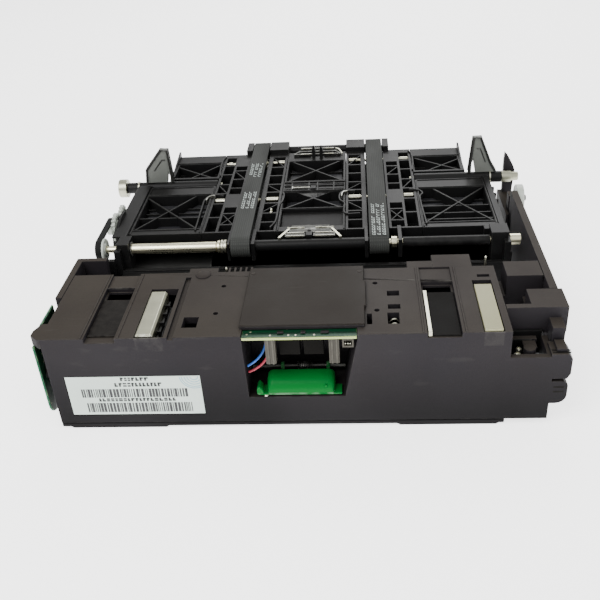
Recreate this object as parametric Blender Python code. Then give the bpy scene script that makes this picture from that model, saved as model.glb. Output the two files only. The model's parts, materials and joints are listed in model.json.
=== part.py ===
"""Bill validator: a sensor block with a belt transport behind it.

Frame: metres, +Z up, +X to the right, the sensor block's front face looks along -Y.
The origin is at the middle of the footprint, on the surface that the unit stands on.
"""

import math

import bmesh
import bpy
from mathutils import Matrix, Vector

# Overall size.
WIDTH = 0.266
DEPTH = 0.242
LEFT = -WIDTH / 2
RIGHT = WIDTH / 2
FRONT = -DEPTH / 2
BACK = DEPTH / 2

# Clearance between separate pieces, and how far a cutter runs past what it cuts.
GAP = 0.0003
PAST = 0.004

# Sensor block.
BLOCK_LEFT = -0.127
BLOCK_RIGHT = 0.098
BLOCK_BACK = FRONT + 0.061
DECK = 0.056
DECK_FLOOR = 0.052
SKIRT = 0.0035
WALL = 0.003
CHANNEL_FLOOR = 0.0534
CHANNEL_BACK = FRONT + 0.0467
LEFT_CHANNEL = (-0.1052, -0.0901)
RIGHT_CHANNEL = (0.059, 0.075)
RECESS_BACK = FRONT + 0.026
RECESS_FLOOR = 0.0192
RECESS_LEFT = -0.029
RECESS_RIGHT = 0.0263
BOARD_TOP = 0.055
BOARD_THICK = 0.0016
BOARD_UNDER = BOARD_TOP - BOARD_THICK

# Green release handle.
HANDLE_AXIS_Y = FRONT + 0.0185
HANDLE_AXIS_Z = 0.0245
HANDLE_PIN_RADIUS = 0.0014
GRIP_LOW = 0.0202
GRIP_TOP = 0.0285

# Belt transport.
SHAFT_Z = 0.0535
DRIVE_Y = FRONT + 0.094
BELT_OUTER = 0.0065
BELT_THICK = 0.001
BELT_WIDTH = 0.011
BELT_X = 0.0394
REAR_Y = BACK - BELT_OUTER
PULLEY_RADIUS = BELT_OUTER - BELT_THICK - GAP
SHAFT_RADIUS = 0.002
BORE_RADIUS = SHAFT_RADIUS + GAP
SLEEVE_RADIUS = 0.0033
IDLER_Z = 0.0544
IDLER_ROWS = {"front": 0.032, "rear": 0.091}
IDLER_RADIUS = 0.0043
IDLER_PIN_RADIUS = 0.001

# Transport frame.
PLATE_OUTER = 0.1115
PLATE_INNER = 0.108
PLATE_TOP = 0.0565
NARROW_OUTER = 0.098
NARROW_INNER = 0.095
BEAM_TOP = 0.0463
TRAY_BOTTOM = BEAM_TOP + GAP
TRAY_TOP = 0.0562
FRONT_HALF = (-0.015, 0.0515)
REAR_HALF = (0.0643, 0.1035)
FRONT_POCKET = (-0.0085, 0.0380)
REAR_POCKET = (0.0665, 0.0890)
FLOOR_THICK = 0.003
BOSS_INNER = 0.1014

# Side bars, which carry the two grey guide fins; each ends at a ladder's outer wall.
BAR_Y = 0.0585
BAR_INNER = 0.0646
BAR_RADIUS = 0.0036
ROD_RADIUS = 0.0018
FIN_BASE = SHAFT_Z + BAR_RADIUS + GAP
FIN_THICK = 0.003

# Idle pulley at the back of the right rail, as (y, z).
PULLEY_POST = (0.0375, 0.0478)

# Timing drive on the left side: centres as (y, z).
TIMING_X = (-0.1235, -0.1201)
TIMING_THICK = 0.0012
GEAR_X = (-0.1198, -0.1178)
GEAR_MODULE = 0.00083
IDLER_GEAR_TEETH = 20
END_GEAR_TEETH = 16
IDLER_GEAR_AT = (0.0, 0.054)
END_GEAR_AT = (GEAR_MODULE * (IDLER_GEAR_TEETH + END_GEAR_TEETH) / 2 + 0.0002, 0.054)
MOTOR_AT = (-0.012, 0.022)
TIMING_RADII = {"drive": 0.0048, "idler": 0.0048, "motor": 0.0040}

MATERIALS = {
    "housing": ((0.045, 0.042, 0.048, 1.0), 0.0, 0.55),
    "frame_black": ((0.016, 0.016, 0.017, 1.0), 0.0, 0.5),
    "belt_rubber": ((0.12, 0.125, 0.12, 1.0), 0.0, 0.8),
    "timing_rubber": ((0.015, 0.015, 0.015, 1.0), 0.0, 0.75),
    "steel": ((0.75, 0.75, 0.68, 1.0), 1.0, 0.28),
    "sheet_metal": ((0.45, 0.45, 0.42, 1.0), 1.0, 0.4),
    "circuit_board": ((0.02, 0.16, 0.09, 1.0), 0.0, 0.4),
    "cream_plastic": ((0.55, 0.54, 0.42, 1.0), 0.0, 0.45),
    "green_plastic": ((0.005, 0.32, 0.07, 1.0), 0.0, 0.15),
    "grey_plastic": ((0.22, 0.23, 0.22, 1.0), 0.0, 0.45),
    "white_plastic": ((0.75, 0.78, 0.75, 1.0), 0.0, 0.35),
    "label_paper": ((0.7, 0.74, 0.7, 1.0), 0.0, 0.6),
    "wire_blue": ((0.02, 0.08, 0.45, 1.0), 0.0, 0.4),
    "wire_red": ((0.5, 0.03, 0.03, 1.0), 0.0, 0.4),
}

PLANES = {"X": (1, 2, 0), "Y": (0, 2, 1), "Z": (0, 1, 2)}


def clear_scene():
    for item in list(bpy.data.objects):
        bpy.data.objects.remove(item, do_unlink=True)


def material(name):
    found = bpy.data.materials.get(name)
    if found:
        return found
    made = bpy.data.materials.new(name)
    made.use_nodes = True
    shader = made.node_tree.nodes["Principled BSDF"]
    color, metallic, roughness = MATERIALS[name]
    shader.inputs["Base Color"].default_value = color
    shader.inputs["Metallic"].default_value = metallic
    shader.inputs["Roughness"].default_value = roughness
    made.diffuse_color = color
    return made


def shape_from(form):
    """A working object from a bmesh, linked so that modifiers can read it."""
    mesh = bpy.data.meshes.new("shape")
    bmesh.ops.recalc_face_normals(form, faces=form.faces)
    form.to_mesh(mesh)
    form.free()
    shape = bpy.data.objects.new("shape", mesh)
    bpy.context.scene.collection.objects.link(shape)
    return shape


def prism(axis, outline, span):
    """An outline in the plane square to the axis, drawn out over the span along it."""
    across, up, along = PLANES[axis]
    form = bmesh.new()
    corners = []
    for a, b in outline:
        place = [0.0, 0.0, 0.0]
        place[across] = a
        place[up] = b
        place[along] = span[0]
        corners.append(form.verts.new(place))
    face = form.faces.new(corners)
    grown = bmesh.ops.extrude_face_region(form, geom=[face])
    shift = [0.0, 0.0, 0.0]
    shift[along] = span[1] - span[0]
    moved = [item for item in grown["geom"] if isinstance(item, bmesh.types.BMVert)]
    bmesh.ops.translate(form, verts=moved, vec=shift)
    return shape_from(form)


def box(x, y, z):
    """A box between (low, high) limits along each axis."""
    return prism("Z", [(x[0], y[0]), (x[1], y[0]), (x[1], y[1]), (x[0], y[1])], z)


def arc(centre, radius, start, end, steps):
    """Points along an arc, both ends included; angles in degrees."""
    points = []
    for step in range(steps + 1):
        angle = math.radians(start + (end - start) * step / steps)
        points.append((centre[0] + radius * math.cos(angle), centre[1] + radius * math.sin(angle)))
    return points


def rod(axis, centre, radius, span, sides=24):
    """A round bar along an axis; its centre is given in the plane square to it."""
    return prism(axis, arc(centre, radius, 0, 360 * (sides - 1) / sides, sides - 1), span)


def gear_outline(centre, teeth, turn):
    """A spur gear's outline with straight-sided teeth; turn is in tooth pitches."""
    pitch_radius = GEAR_MODULE * teeth / 2
    tip = pitch_radius + 0.8 * GEAR_MODULE
    root = pitch_radius - 1.15 * GEAR_MODULE
    points = []
    for tooth in range(teeth):
        for offset, radius in ((-0.30, root), (-0.10, tip), (0.10, tip), (0.30, root)):
            angle = 2 * math.pi * (tooth + turn + offset) / teeth
            points.append((centre[0] + radius * math.cos(angle), centre[1] + radius * math.sin(angle)))
    return points


def loop_outline(circles, grow, steps=8):
    """The taut outline round circles given as (y, z, radius), listed anticlockwise."""
    points = []
    count = len(circles)
    for index, (y, z, radius) in enumerate(circles):
        before = circles[index - 1]
        after = circles[(index + 1) % count]
        start = tangent_angle(before, (y, z, radius))
        end = tangent_angle((y, z, radius), after)
        while end < start:
            end += 360
        points += arc((y, z), radius + grow, start, end, steps)
    return points


def tangent_angle(first, second):
    """Direction, in degrees, from a circle's centre to where the outer tangent touches it."""
    run = math.atan2(second[1] - first[1], second[0] - first[0])
    distance = math.hypot(second[0] - first[0], second[1] - first[1])
    lean = math.acos((first[2] - second[2]) / distance)
    return math.degrees(run - lean)


def solid(name, surface, adds, cuts=(), origin=(0.0, 0.0, 0.0)):
    """One named sub-part: the union of some shapes, less the cutters."""
    base = adds[0]
    for operation, tools in (("UNION", adds[1:]), ("DIFFERENCE", cuts)):
        for tool in tools:
            step = base.modifiers.new(operation, "BOOLEAN")
            step.operation = operation
            step.solver = "EXACT"
            step.object = tool
    bpy.context.view_layer.update()
    graph = bpy.context.evaluated_depsgraph_get()
    mesh = bpy.data.meshes.new_from_object(base.evaluated_get(graph))
    mesh.name = name
    mesh.transform(Matrix.Translation(-Vector(origin)))
    mesh.shade_smooth()
    mesh.set_sharp_from_angle(angle=math.radians(35))
    mesh.materials.clear()
    mesh.materials.append(material(surface))
    for tool in [*adds, *cuts]:
        bpy.data.objects.remove(tool, do_unlink=True)
    part = bpy.data.objects.new(name, mesh)
    part.location = origin
    bpy.context.scene.collection.objects.link(part)
    return part


def wire(name, surface, radius, controls):
    """A thin lead along a cubic curve through four control points."""
    steps = 14
    curve = bpy.data.curves.new(name, "CURVE")
    curve.dimensions = "3D"
    curve.bevel_depth = radius
    curve.bevel_resolution = 2
    curve.use_fill_caps = True
    spline = curve.splines.new("POLY")
    spline.points.add(steps)
    a, b, c, d = (Vector(point) for point in controls)
    for index in range(steps + 1):
        t = index / steps
        place = a * (1 - t) ** 3 + b * 3 * t * (1 - t) ** 2 + c * 3 * t * t * (1 - t) + d * t ** 3
        spline.points[index].co = (*place, 1.0)
    part = bpy.data.objects.new(name, curve)
    curve.materials.append(material(surface))
    bpy.context.scene.collection.objects.link(part)
    return part


def slot(x, y, floor=DECK_FLOOR - PAST):
    """A cutter that opens the deck down to a floor; by default right through it."""
    return box(x, y, (floor, DECK + PAST))


def front_housing():
    front_in = FRONT + WALL
    back_in = BLOCK_BACK - WALL
    extension_right = 0.1185
    inner_left = BLOCK_LEFT + WALL
    inner_right = BLOCK_RIGHT - WALL
    adds = [
        box((BLOCK_LEFT, BLOCK_RIGHT), (FRONT, BLOCK_BACK), (SKIRT, DECK)),
        box((BLOCK_RIGHT - WALL, extension_right), (FRONT, FRONT + 0.018), (SKIRT, 0.041)),
    ]
    # Two tabs and the pointed front-left lug.
    tab_back = FRONT + 0.0107
    mid_tab = [(0.117, 0.028), (0.1255, 0.028), (0.127, 0.031)]
    mid_tab += [(0.127, 0.0395), (0.125, 0.0425), (0.117, 0.0425)]
    adds.append(prism("Y", mid_tab, (FRONT, tab_back)))
    low_tab = [(0.117, 0.013), *arc((0.1215, 0.018), 0.005, -90, 0, 4)]
    low_tab += [(0.1265, 0.024), (0.1245, 0.0265), (0.117, 0.0265)]
    adds.append(prism("Y", low_tab, (FRONT, tab_back)))
    lug = [(-0.1255, FRONT), (-0.1285, FRONT + 0.0005), (-0.1325, FRONT + 0.004)]
    lug += [(-0.1325, FRONT + 0.008), (-0.1300, FRONT + 0.014), (-0.1255, FRONT + 0.014)]
    adds.append(prism("Z", lug, (0.0505, DECK)))
    # Bosses that carry the side board.
    for y, z in ((FRONT + 0.028, 0.046), (FRONT + 0.028, 0.014), (FRONT + 0.008, 0.030)):
        adds.append(rod("X", (y, z), 0.0025, (LEFT + 0.0016 + GAP, BLOCK_LEFT + 0.001), 12))
    # Comb of guide fingers on the back edge.
    for finger in range(5):
        x = -0.0425 + 0.0030 * finger
        adds.append(box((x, x + 0.0012), (BLOCK_BACK - 0.001, BLOCK_BACK + 0.0045), (0.047, DECK)))

    # Inside: open from below, with walls round the recess.
    wall_left = RECESS_LEFT - WALL
    wall_right = RECESS_RIGHT + WALL
    round_recess = (wall_left - WALL, wall_right + WALL)
    low = SKIRT - PAST
    cuts = [
        box((inner_left, wall_left), (front_in, back_in), (low, DECK_FLOOR)),
        box((wall_right, inner_right), (front_in, back_in), (low, DECK_FLOOR)),
        box(round_recess, (RECESS_BACK + WALL, back_in), (low, DECK_FLOOR - 0.0002)),
        box(round_recess, (front_in, RECESS_BACK + 2 * WALL), (low, RECESS_FLOOR - WALL)),
        box((BLOCK_RIGHT + 0.0005, extension_right - WALL), (front_in, FRONT + 0.015), (low, 0.0225)),
        box((BLOCK_RIGHT + 0.0005, extension_right - WALL), (front_in, FRONT + 0.015), (0.0255, DECK)),
        box((0.1130, extension_right - WALL), (front_in, FRONT + 0.018 + PAST), (0.0255, DECK)),
    ]
    # Front recess, a little narrower at its floor.
    recess = [(RECESS_LEFT, DECK + PAST), (RECESS_LEFT + 0.001, RECESS_FLOOR)]
    recess += [(RECESS_RIGHT - 0.0066, RECESS_FLOOR), (RECESS_RIGHT, DECK - 0.003)]
    recess.append((RECESS_RIGHT, DECK + PAST))
    cuts.append(prism("Y", recess, (FRONT - PAST, RECESS_BACK)))
    # Deck: note channels, each with an opening at its back and a lower shelf behind.
    for left, right in (LEFT_CHANNEL, RIGHT_CHANNEL):
        cuts.append(slot((left, right), (FRONT - PAST, CHANNEL_BACK), CHANNEL_FLOOR))
        cuts.append(slot((left + 0.001, right - 0.001), (CHANNEL_BACK - 0.0085, CHANNEL_BACK - 0.0005)))
        cuts.append(slot((left, right), (CHANNEL_BACK + 0.0005, BLOCK_BACK + PAST), DECK - 0.0012))
    cuts += [
        slot((-0.0806, -0.0665), (FRONT + 0.0006, FRONT + 0.0445)),
        slot((0.0850, 0.0945), (FRONT + 0.0006, FRONT + 0.0465)),
        slot((0.0882, 0.0944), (FRONT + 0.0498, FRONT + 0.0522)),
        slot((-0.0644, -0.0616), (FRONT - PAST, FRONT + 0.056), DECK - 0.0015),
        slot((-0.0588, -0.0515), (FRONT + 0.0084, FRONT + 0.0175)),
        slot((0.0310, 0.0334), (FRONT + 0.0085, FRONT + 0.0175)),
        slot((0.0415, 0.0475), (FRONT + 0.0335, FRONT + 0.0380)),
        slot((0.0415, 0.0475), (FRONT + 0.0215, FRONT + 0.0255)),
        slot((0.0410, 0.0465), (FRONT + 0.0085, FRONT + 0.0180)),
    ]
    for x, y in ((-0.0436, 0.0204), (-0.0429, 0.0463), (0.0357, 0.0459), (0.0360, 0.0205)):
        cuts.append(rod("Z", (x, FRONT + y), 0.0013, (DECK_FLOOR - PAST, DECK + PAST), 10))
    # Pocket that the label lies in.
    cuts.append(box((-0.1196, -0.0510), (FRONT - PAST, FRONT + 0.0006), (0.0088, 0.0333)))
    return solid("front_housing", "housing", adds, cuts)


def base_cover():
    """Bottom plate of the sensor block, with two shallow feet along the front and two behind."""
    adds = [box((BLOCK_LEFT, BLOCK_RIGHT), (FRONT, BLOCK_BACK), (0.001, SKIRT - GAP))]
    for left, right in ((-0.1212, -0.0723), (0.0466, 0.0941)):
        foot = [(left - 0.002, 0.0015), (left, 0.0), (right, 0.0), (right + 0.002, 0.0015)]
        for y in (FRONT, BLOCK_BACK - 0.012):
            adds.append(prism("Y", foot, (y, y + 0.012)))
    return solid("base_cover", "housing", adds)


def deck_parts():
    """What lies on or in the deck of the sensor block."""
    plate_z = (DECK + GAP, DECK + 0.0019)
    solid("center_cover_plate", "housing", [
        box((-0.0303, 0.0300), (FRONT + 0.0060, BLOCK_BACK), plate_z),
        box((0.0290, 0.0308), (FRONT + 0.022, FRONT + 0.046), plate_z),
    ])
    solid("steel_sensor_bar", "steel", [
        box((-0.0802, -0.0716), (FRONT + 0.0010, FRONT + 0.0407), (0.0480, 0.0570)),
    ])
    solid("cream_reference_bar", "cream_plastic", [
        box((0.0854, 0.0939), (FRONT + 0.0010, FRONT + 0.0416), (0.0480, 0.0567)),
    ])
    solid("channel_strip", "steel", [
        box((0.0594, 0.0612), (FRONT + 0.0006, FRONT + 0.0375), (CHANNEL_FLOOR + GAP, DECK + 0.0002)),
    ])
    solid("label_plate", "label_paper", [
        box((-0.1193, -0.0513), (FRONT, FRONT + GAP), (0.0091, 0.0330)),
    ])


def recess_parts():
    """Sensor board under the cover plate, with what hangs from it into the recess."""
    board_x = (RECESS_LEFT + GAP, RECESS_RIGHT - GAP)
    board_y = (FRONT + GAP, RECESS_BACK - GAP)
    solid("front_sensor_board", "circuit_board", [box(board_x, board_y, (BOARD_UNDER, BOARD_TOP))])
    hang = BOARD_UNDER - GAP
    for side, left in (("left", -0.0180), ("right", 0.0126)):
        solid("board_post_" + side, "cream_plastic", [
            box((left, left + 0.0050), (FRONT + 0.0012, FRONT + 0.0052), (0.0385, hang)),
        ])
    solid("board_connector", "cream_plastic", [
        box((0.0190, 0.0246), (FRONT + 0.0010, FRONT + 0.0050), (0.0478, hang)),
    ], [box((0.0200, 0.0236), (FRONT - PAST, FRONT + 0.0040), (0.0488, 0.0518))])
    solid("photo_sensor_block", "frame_black", [
        box((-0.0118, 0.0098), (FRONT + 0.0075, FRONT + 0.0145), (0.0485, hang)),
        box((-0.0118, -0.0018), (FRONT + 0.0075, FRONT + 0.0145), (0.0395, 0.0500)),
        box((0.0002, 0.0098), (FRONT + 0.0075, FRONT + 0.0145), (0.0395, 0.0500)),
    ])
    wire("wire_blue", "wire_blue", 0.0006, [
        (-0.0190, FRONT + 0.0135, hang - 0.0006),
        (-0.0170, FRONT + 0.0100, 0.0430),
        (-0.0205, FRONT + 0.0060, 0.0385),
        (RECESS_LEFT + 0.0012, FRONT + 0.0040, 0.0355),
    ])
    wire("wire_red", "wire_red", 0.0006, [
        (-0.0165, FRONT + 0.0140, hang - 0.0006),
        (-0.0150, FRONT + 0.0100, 0.0400),
        (-0.0185, FRONT + 0.0060, 0.0340),
        (RECESS_LEFT + 0.0014, FRONT + 0.0045, 0.0315),
    ])


def release_handle():
    """Green pull that tips upward about its pin at the back of the recess floor."""
    pivot = (0.0, HANDLE_AXIS_Y, HANDLE_AXIS_Z)
    grip = [(-0.0240, GRIP_LOW), (0.0182, GRIP_LOW), (0.0176, 0.0225), (0.0150, 0.0270), (0.0128, GRIP_TOP)]
    grip += [(-0.0145, GRIP_TOP), (-0.0172, 0.0270), (-0.0225, 0.0235), (-0.0240, 0.0228)]
    adds = [prism("Y", grip, (FRONT + 0.0020, FRONT + 0.0120))]
    axis = (HANDLE_AXIS_Y, HANDLE_AXIS_Z)
    for left in (-0.0130, 0.0080):
        arm = (left, left + 0.0040)
        adds.append(box(arm, (FRONT + 0.0110, HANDLE_AXIS_Y + 0.0015), (0.0215, 0.0275)))
        adds.append(rod("X", axis, 0.0030, arm, 16))
    bend = (FRONT + 0.0085, GRIP_TOP - 0.0068)
    round_front = [(FRONT + 0.0010, GRIP_TOP + GAP), (FRONT + 0.0010, bend[1]), (FRONT + 0.0020, bend[1])]
    round_front += arc(bend, 0.0068, 168, 92, 5)
    round_front.append((FRONT + 0.0083, GRIP_TOP + GAP))
    cuts = [
        prism("X", round_front, (-0.030, 0.030)),
        rod("X", axis, HANDLE_PIN_RADIUS + GAP, (-0.020, 0.020), 16),
    ]
    solid("release_handle", "green_plastic", adds, cuts, pivot)
    solid("handle_pin", "steel", [
        rod("X", axis, HANDLE_PIN_RADIUS, (RECESS_LEFT + 0.0016, RECESS_RIGHT - 0.0063), 16),
    ])


def inner_parts():
    """Electronics inside the sensor block."""
    solid("main_board", "circuit_board", [
        box((-0.1215, -0.0345), (FRONT + 0.0050, BLOCK_BACK - 0.0050), (0.0090, 0.0106)),
    ])
    for side, (left, right) in (("left", LEFT_CHANNEL), ("right", RIGHT_CHANNEL)):
        solid("scan_module_" + side, "frame_black", [
            box((left - 0.001, right + 0.001), (FRONT + 0.0050, FRONT + 0.0365), (0.0340, DECK_FLOOR - GAP)),
        ])


def side_parts():
    """Board and walls at the two ends of the sensor block."""
    board_front = FRONT + 0.0025
    board_back = FRONT + 0.0350
    lug_back = FRONT + 0.0146
    board = [(board_back, 0.0060), (board_back, 0.0535), (lug_back, 0.0535)]
    board += [(lug_back, 0.0500), (board_front, 0.0500)]
    board += arc((board_front + 0.008, 0.0140), 0.0080, 180, 270, 5)
    solid("left_side_board", "circuit_board", [prism("X", board, (LEFT, LEFT + BOARD_THICK))])

    wall_out = LEFT + 0.0020
    wall_back = FRONT + 0.0800
    solid("left_side_wall", "housing", [
        box((wall_out, BLOCK_LEFT - GAP), (FRONT + 0.0380, wall_back), (0.0, DECK)),
        box((wall_out, -0.1135), (wall_back - 0.0035, wall_back), (0.0, DECK)),
    ])

    # Bracket on the right: a block with a notch behind its front wall and a neck down to
    # the tab, a taller block behind it, and a low web between the two.
    solid("right_bracket", "housing", [
        box((BLOCK_RIGHT + GAP, 0.1280), (FRONT + 0.0200, FRONT + 0.0370), (0.0413, DECK)),
        box((0.1189, 0.1250), (FRONT + 0.0110, FRONT + 0.0210), (0.0300, 0.0500)),
        box((0.1120, 0.1217), (FRONT + 0.0360, FRONT + 0.0510), (0.0330, 0.0433)),
        box((BLOCK_RIGHT + GAP, 0.1217), (FRONT + 0.0500, FRONT + 0.0645), (0.0300, 0.0440)),
        box((0.1033, 0.1217), (FRONT + 0.0500, FRONT + 0.0650), (0.0420, DECK)),
    ], [box((BLOCK_RIGHT - 0.001, 0.1105), (FRONT + 0.0235, FRONT + 0.0370 + PAST), (0.0455, DECK + PAST))])

    # Side rail; behind it a lower arm with the pulley's post and an upright pointed hook.
    rail_x = (0.1220, 0.1262)
    rail_back = 0.0310
    adds = [
        box(rail_x, (FRONT + 0.0373, rail_back), (0.0, DECK)),
        box((0.1205, rail_x[1]), (rail_back - 0.001, 0.0680), (0.0, 0.0400)),
        box((rail_x[0], 0.1256), (PULLEY_POST[0] - 0.0035, PULLEY_POST[0] + 0.0035), (0.0390, 0.0510)),
        rod("X", PULLEY_POST, 0.0018, (0.1250, RIGHT), 16),
    ]
    hook = [(0.1230, 0.0380), (0.1290, 0.0380), (0.1301, 0.0555), (0.1291, 0.0582), (0.1270, 0.0621)]
    hook += [(0.1250, 0.0655), (0.1233, 0.0672), (0.1229, 0.0620)]
    adds.append(prism("Y", hook, (0.0635, 0.0675)))
    solid("right_side_rail", "housing", adds)
    pulley = rod("X", PULLEY_POST, 0.0085, (0.1266, 0.1308), 28)
    bore = rod("X", PULLEY_POST, 0.0018 + GAP, (0.1240, 0.1340), 16)
    solid("side_pulley", "white_plastic", [pulley], [bore], (0.1287, *PULLEY_POST))


def transport_chassis():
    """Open box that carries the trays, the shafts and the motor."""
    adds = []
    front_y = FRONT + 0.085
    step_y = (0.0620, 0.0650)
    for sign in (-1, 1):
        outer, inner = sorted((sign * PLATE_OUTER, sign * PLATE_INNER))
        adds.append(box((outer, inner), (front_y, step_y[1]), (0.0, PLATE_TOP)))
        outer, inner = sorted((sign * NARROW_OUTER, sign * NARROW_INNER))
        adds.append(box((outer, inner), (step_y[0], REAR_HALF[1]), (0.0, BEAM_TOP)))
        outer, inner = sorted((sign * PLATE_OUTER, sign * NARROW_INNER))
        adds.append(box((outer, inner), step_y, (0.0, BEAM_TOP)))
    wide = (-PLATE_OUTER, PLATE_OUTER)
    narrow = (-NARROW_OUTER, NARROW_OUTER)
    adds += [
        box(wide, (BLOCK_BACK + GAP, step_y[1]), (0.0, FLOOR_THICK)),
        box((-PLATE_INNER, BLOCK_RIGHT), (BLOCK_BACK + GAP, front_y + WALL), (0.0400, 0.0430)),
        box(narrow, (step_y[0], REAR_HALF[1]), (0.0, FLOOR_THICK)),
        box(wide, (front_y, front_y + WALL), (0.0, 0.0440)),
        box(wide, (0.0440, 0.0480), (0.0200, BEAM_TOP)),
        box(narrow, (REAR_HALF[1] - 0.004, REAR_HALF[1]), (0.0, BEAM_TOP)),
        box(narrow, (0.0700, 0.0740), (0.0200, BEAM_TOP)),
    ]
    # Bearing bosses for the drive shaft.
    left_boss = (-PLATE_OUTER + 0.001, -0.1037)
    right_boss = (BOSS_INNER, PLATE_OUTER - 0.001)
    adds.append(box(left_boss, (DRIVE_Y - 0.0055, DRIVE_Y + 0.0055), (0.0430, 0.0592)))
    adds.append(box(right_boss, (DRIVE_Y - 0.0050, DRIVE_Y + 0.0060), (0.0430, 0.0600)))
    across = (-WIDTH, WIDTH)
    left_plate = (-PLATE_OUTER - PAST, -PLATE_INNER + PAST)
    bar_gap = BAR_RADIUS + 2 * GAP
    cuts = [
        rod("X", (DRIVE_Y, SHAFT_Z), BORE_RADIUS, across, 20),
        box(across, (BAR_Y - bar_gap, BAR_Y + bar_gap), (SHAFT_Z, PLATE_TOP + PAST)),
        rod("X", (BAR_Y, SHAFT_Z), bar_gap, across, 24),
        rod("X", MOTOR_AT, 0.0024, left_plate, 16),
        rod("X", IDLER_GEAR_AT, 0.0015 + GAP, left_plate, 12),
        rod("X", END_GEAR_AT, 0.0015 + GAP, left_plate, 12),
    ]
    solid("transport_chassis", "frame_black", adds, cuts)


def rib(start, end, z, thick=0.0011):
    """An upright rib between two points seen from above."""
    run = Vector(end) - Vector(start)
    side = Vector((-run.y, run.x)).normalized() * thick / 2
    corners = [Vector(start) + side, Vector(start) - side, Vector(end) - side, Vector(end) + side]
    return prism("Z", [tuple(corner) for corner in corners], z)


def tray(x, y, pockets, ribs, bars=()):
    """A shallow tray with open pockets, diagonal ribs and plain cross bars."""
    floor = TRAY_BOTTOM + 0.0020
    rib_z = (floor - 0.0005, TRAY_TOP - 0.0005)
    adds = [box(x, y, (TRAY_BOTTOM, TRAY_TOP))]
    cuts = [box(*pocket, (floor, TRAY_TOP + PAST)) for pocket in pockets]
    fills = [rib(start, end, rib_z) for start, end in ribs]
    for bar_x, place in bars:
        fills.append(box(bar_x, (place, place + 0.0010), (floor - 0.0005, TRAY_TOP - 0.0010)))
    return adds, cuts, fills


def tray_solid(name, shape, extra=()):
    """The tray's block less its pockets, with the ribs put back in."""
    adds, cuts, fills = shape
    block = solid("block", "frame_black", adds, cuts)
    solid(name, "frame_black", [block, *fills, *extra])


def trays():
    wide = PLATE_INNER - GAP
    narrow = NARROW_OUTER
    outer_edge = 0.0646
    center = (-0.0200, 0.0200)
    center_pocket = (-0.0186, 0.0186)

    left = (-wide, -outer_edge)
    left_pocket = (-wide + 0.0012, -outer_edge - 0.0015)
    left_ribs = [((-0.1072, 0.0372), (-0.0675, -0.0088)), ((-0.0755, 0.0384), (-0.1062, -0.0080))]
    front_left = tray(left, FRONT_HALF, [(left_pocket, FRONT_POCKET)], left_ribs, [(left_pocket, 0.0080)])
    tray_solid("tray_front_left", front_left)

    right = (outer_edge, wide)
    right_pocket = (outer_edge + 0.0012, wide - 0.0012)
    right_ribs = [((0.0750, 0.0384), (0.1066, -0.0085)), ((0.1062, 0.0384), (0.0664, -0.0084))]
    right_bars = [(right_pocket, place) for place in (-0.0035, 0.0045, 0.0140)]
    front_right = tray(right, FRONT_HALF, [(right_pocket, FRONT_POCKET)], right_ribs, right_bars)
    tray_solid("tray_front_right", front_right)

    front_pockets = [(center_pocket, (0.0148, 0.0380)), (center_pocket, (-0.0095, 0.0132))]
    front_ribs = [((-0.0103, 0.0384), (0.0190, 0.0145)), ((0.0103, 0.0384), (-0.0190, 0.0145))]
    tray_solid("tray_front_center", tray(center, (FRONT_HALF[0], 0.0520), front_pockets, front_ribs))

    rear_left_pocket = (-narrow + 0.0025, -outer_edge - 0.0015)
    rear_left_ribs = [((-0.0846, 0.0660), (-0.0658, 0.0890)), ((-0.0958, 0.0860), (-0.0690, 0.0660))]
    rear_left = tray((-narrow, -outer_edge), REAR_HALF, [(rear_left_pocket, REAR_POCKET)], rear_left_ribs)
    tray_solid("tray_rear_left", rear_left, [spike(-narrow)])

    rear_right_pocket = (outer_edge + 0.0012, narrow - 0.0025)
    rear_right_ribs = [((0.0655, 0.0894), (0.0958, 0.0662)), ((0.0958, 0.0850), (0.0730, 0.0660))]
    rear_right = tray((outer_edge, narrow), REAR_HALF, [(rear_right_pocket, REAR_POCKET)], rear_right_ribs)
    tray_solid("tray_rear_right", rear_right, [spike(narrow - 0.0012)])

    rear_center_pocket = (center_pocket, (0.0550, 0.0885))
    rear_center_ribs = [((-0.0165, 0.0889), (0.0190, 0.0546)), ((0.0165, 0.0889), (-0.0190, 0.0546))]
    rear_center = tray(center, (0.0530, REAR_HALF[1]), [rear_center_pocket], rear_center_ribs)
    pins = []
    for x in (-0.0032, 0.0020):
        outline = [(x, TRAY_TOP - 0.0010), (x + 0.0023, TRAY_TOP - 0.0010), (x + 0.0023, 0.0615)]
        outline += [(x + 0.0015, 0.0650), (x + 0.0008, 0.0650), (x, 0.0615)]
        pins.append(prism("Y", outline, (0.0932, 0.0952)))
    tray_solid("tray_rear_center", rear_center, pins)


def spike(x):
    """Thin pointed ear at a rear tray's outer back corner."""
    outline = [(0.0700, TRAY_TOP - 0.0010), (REAR_HALF[1], TRAY_TOP - 0.0010), (REAR_HALF[1], 0.0600)]
    return prism("X", outline, (x, x + 0.0012))


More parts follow.
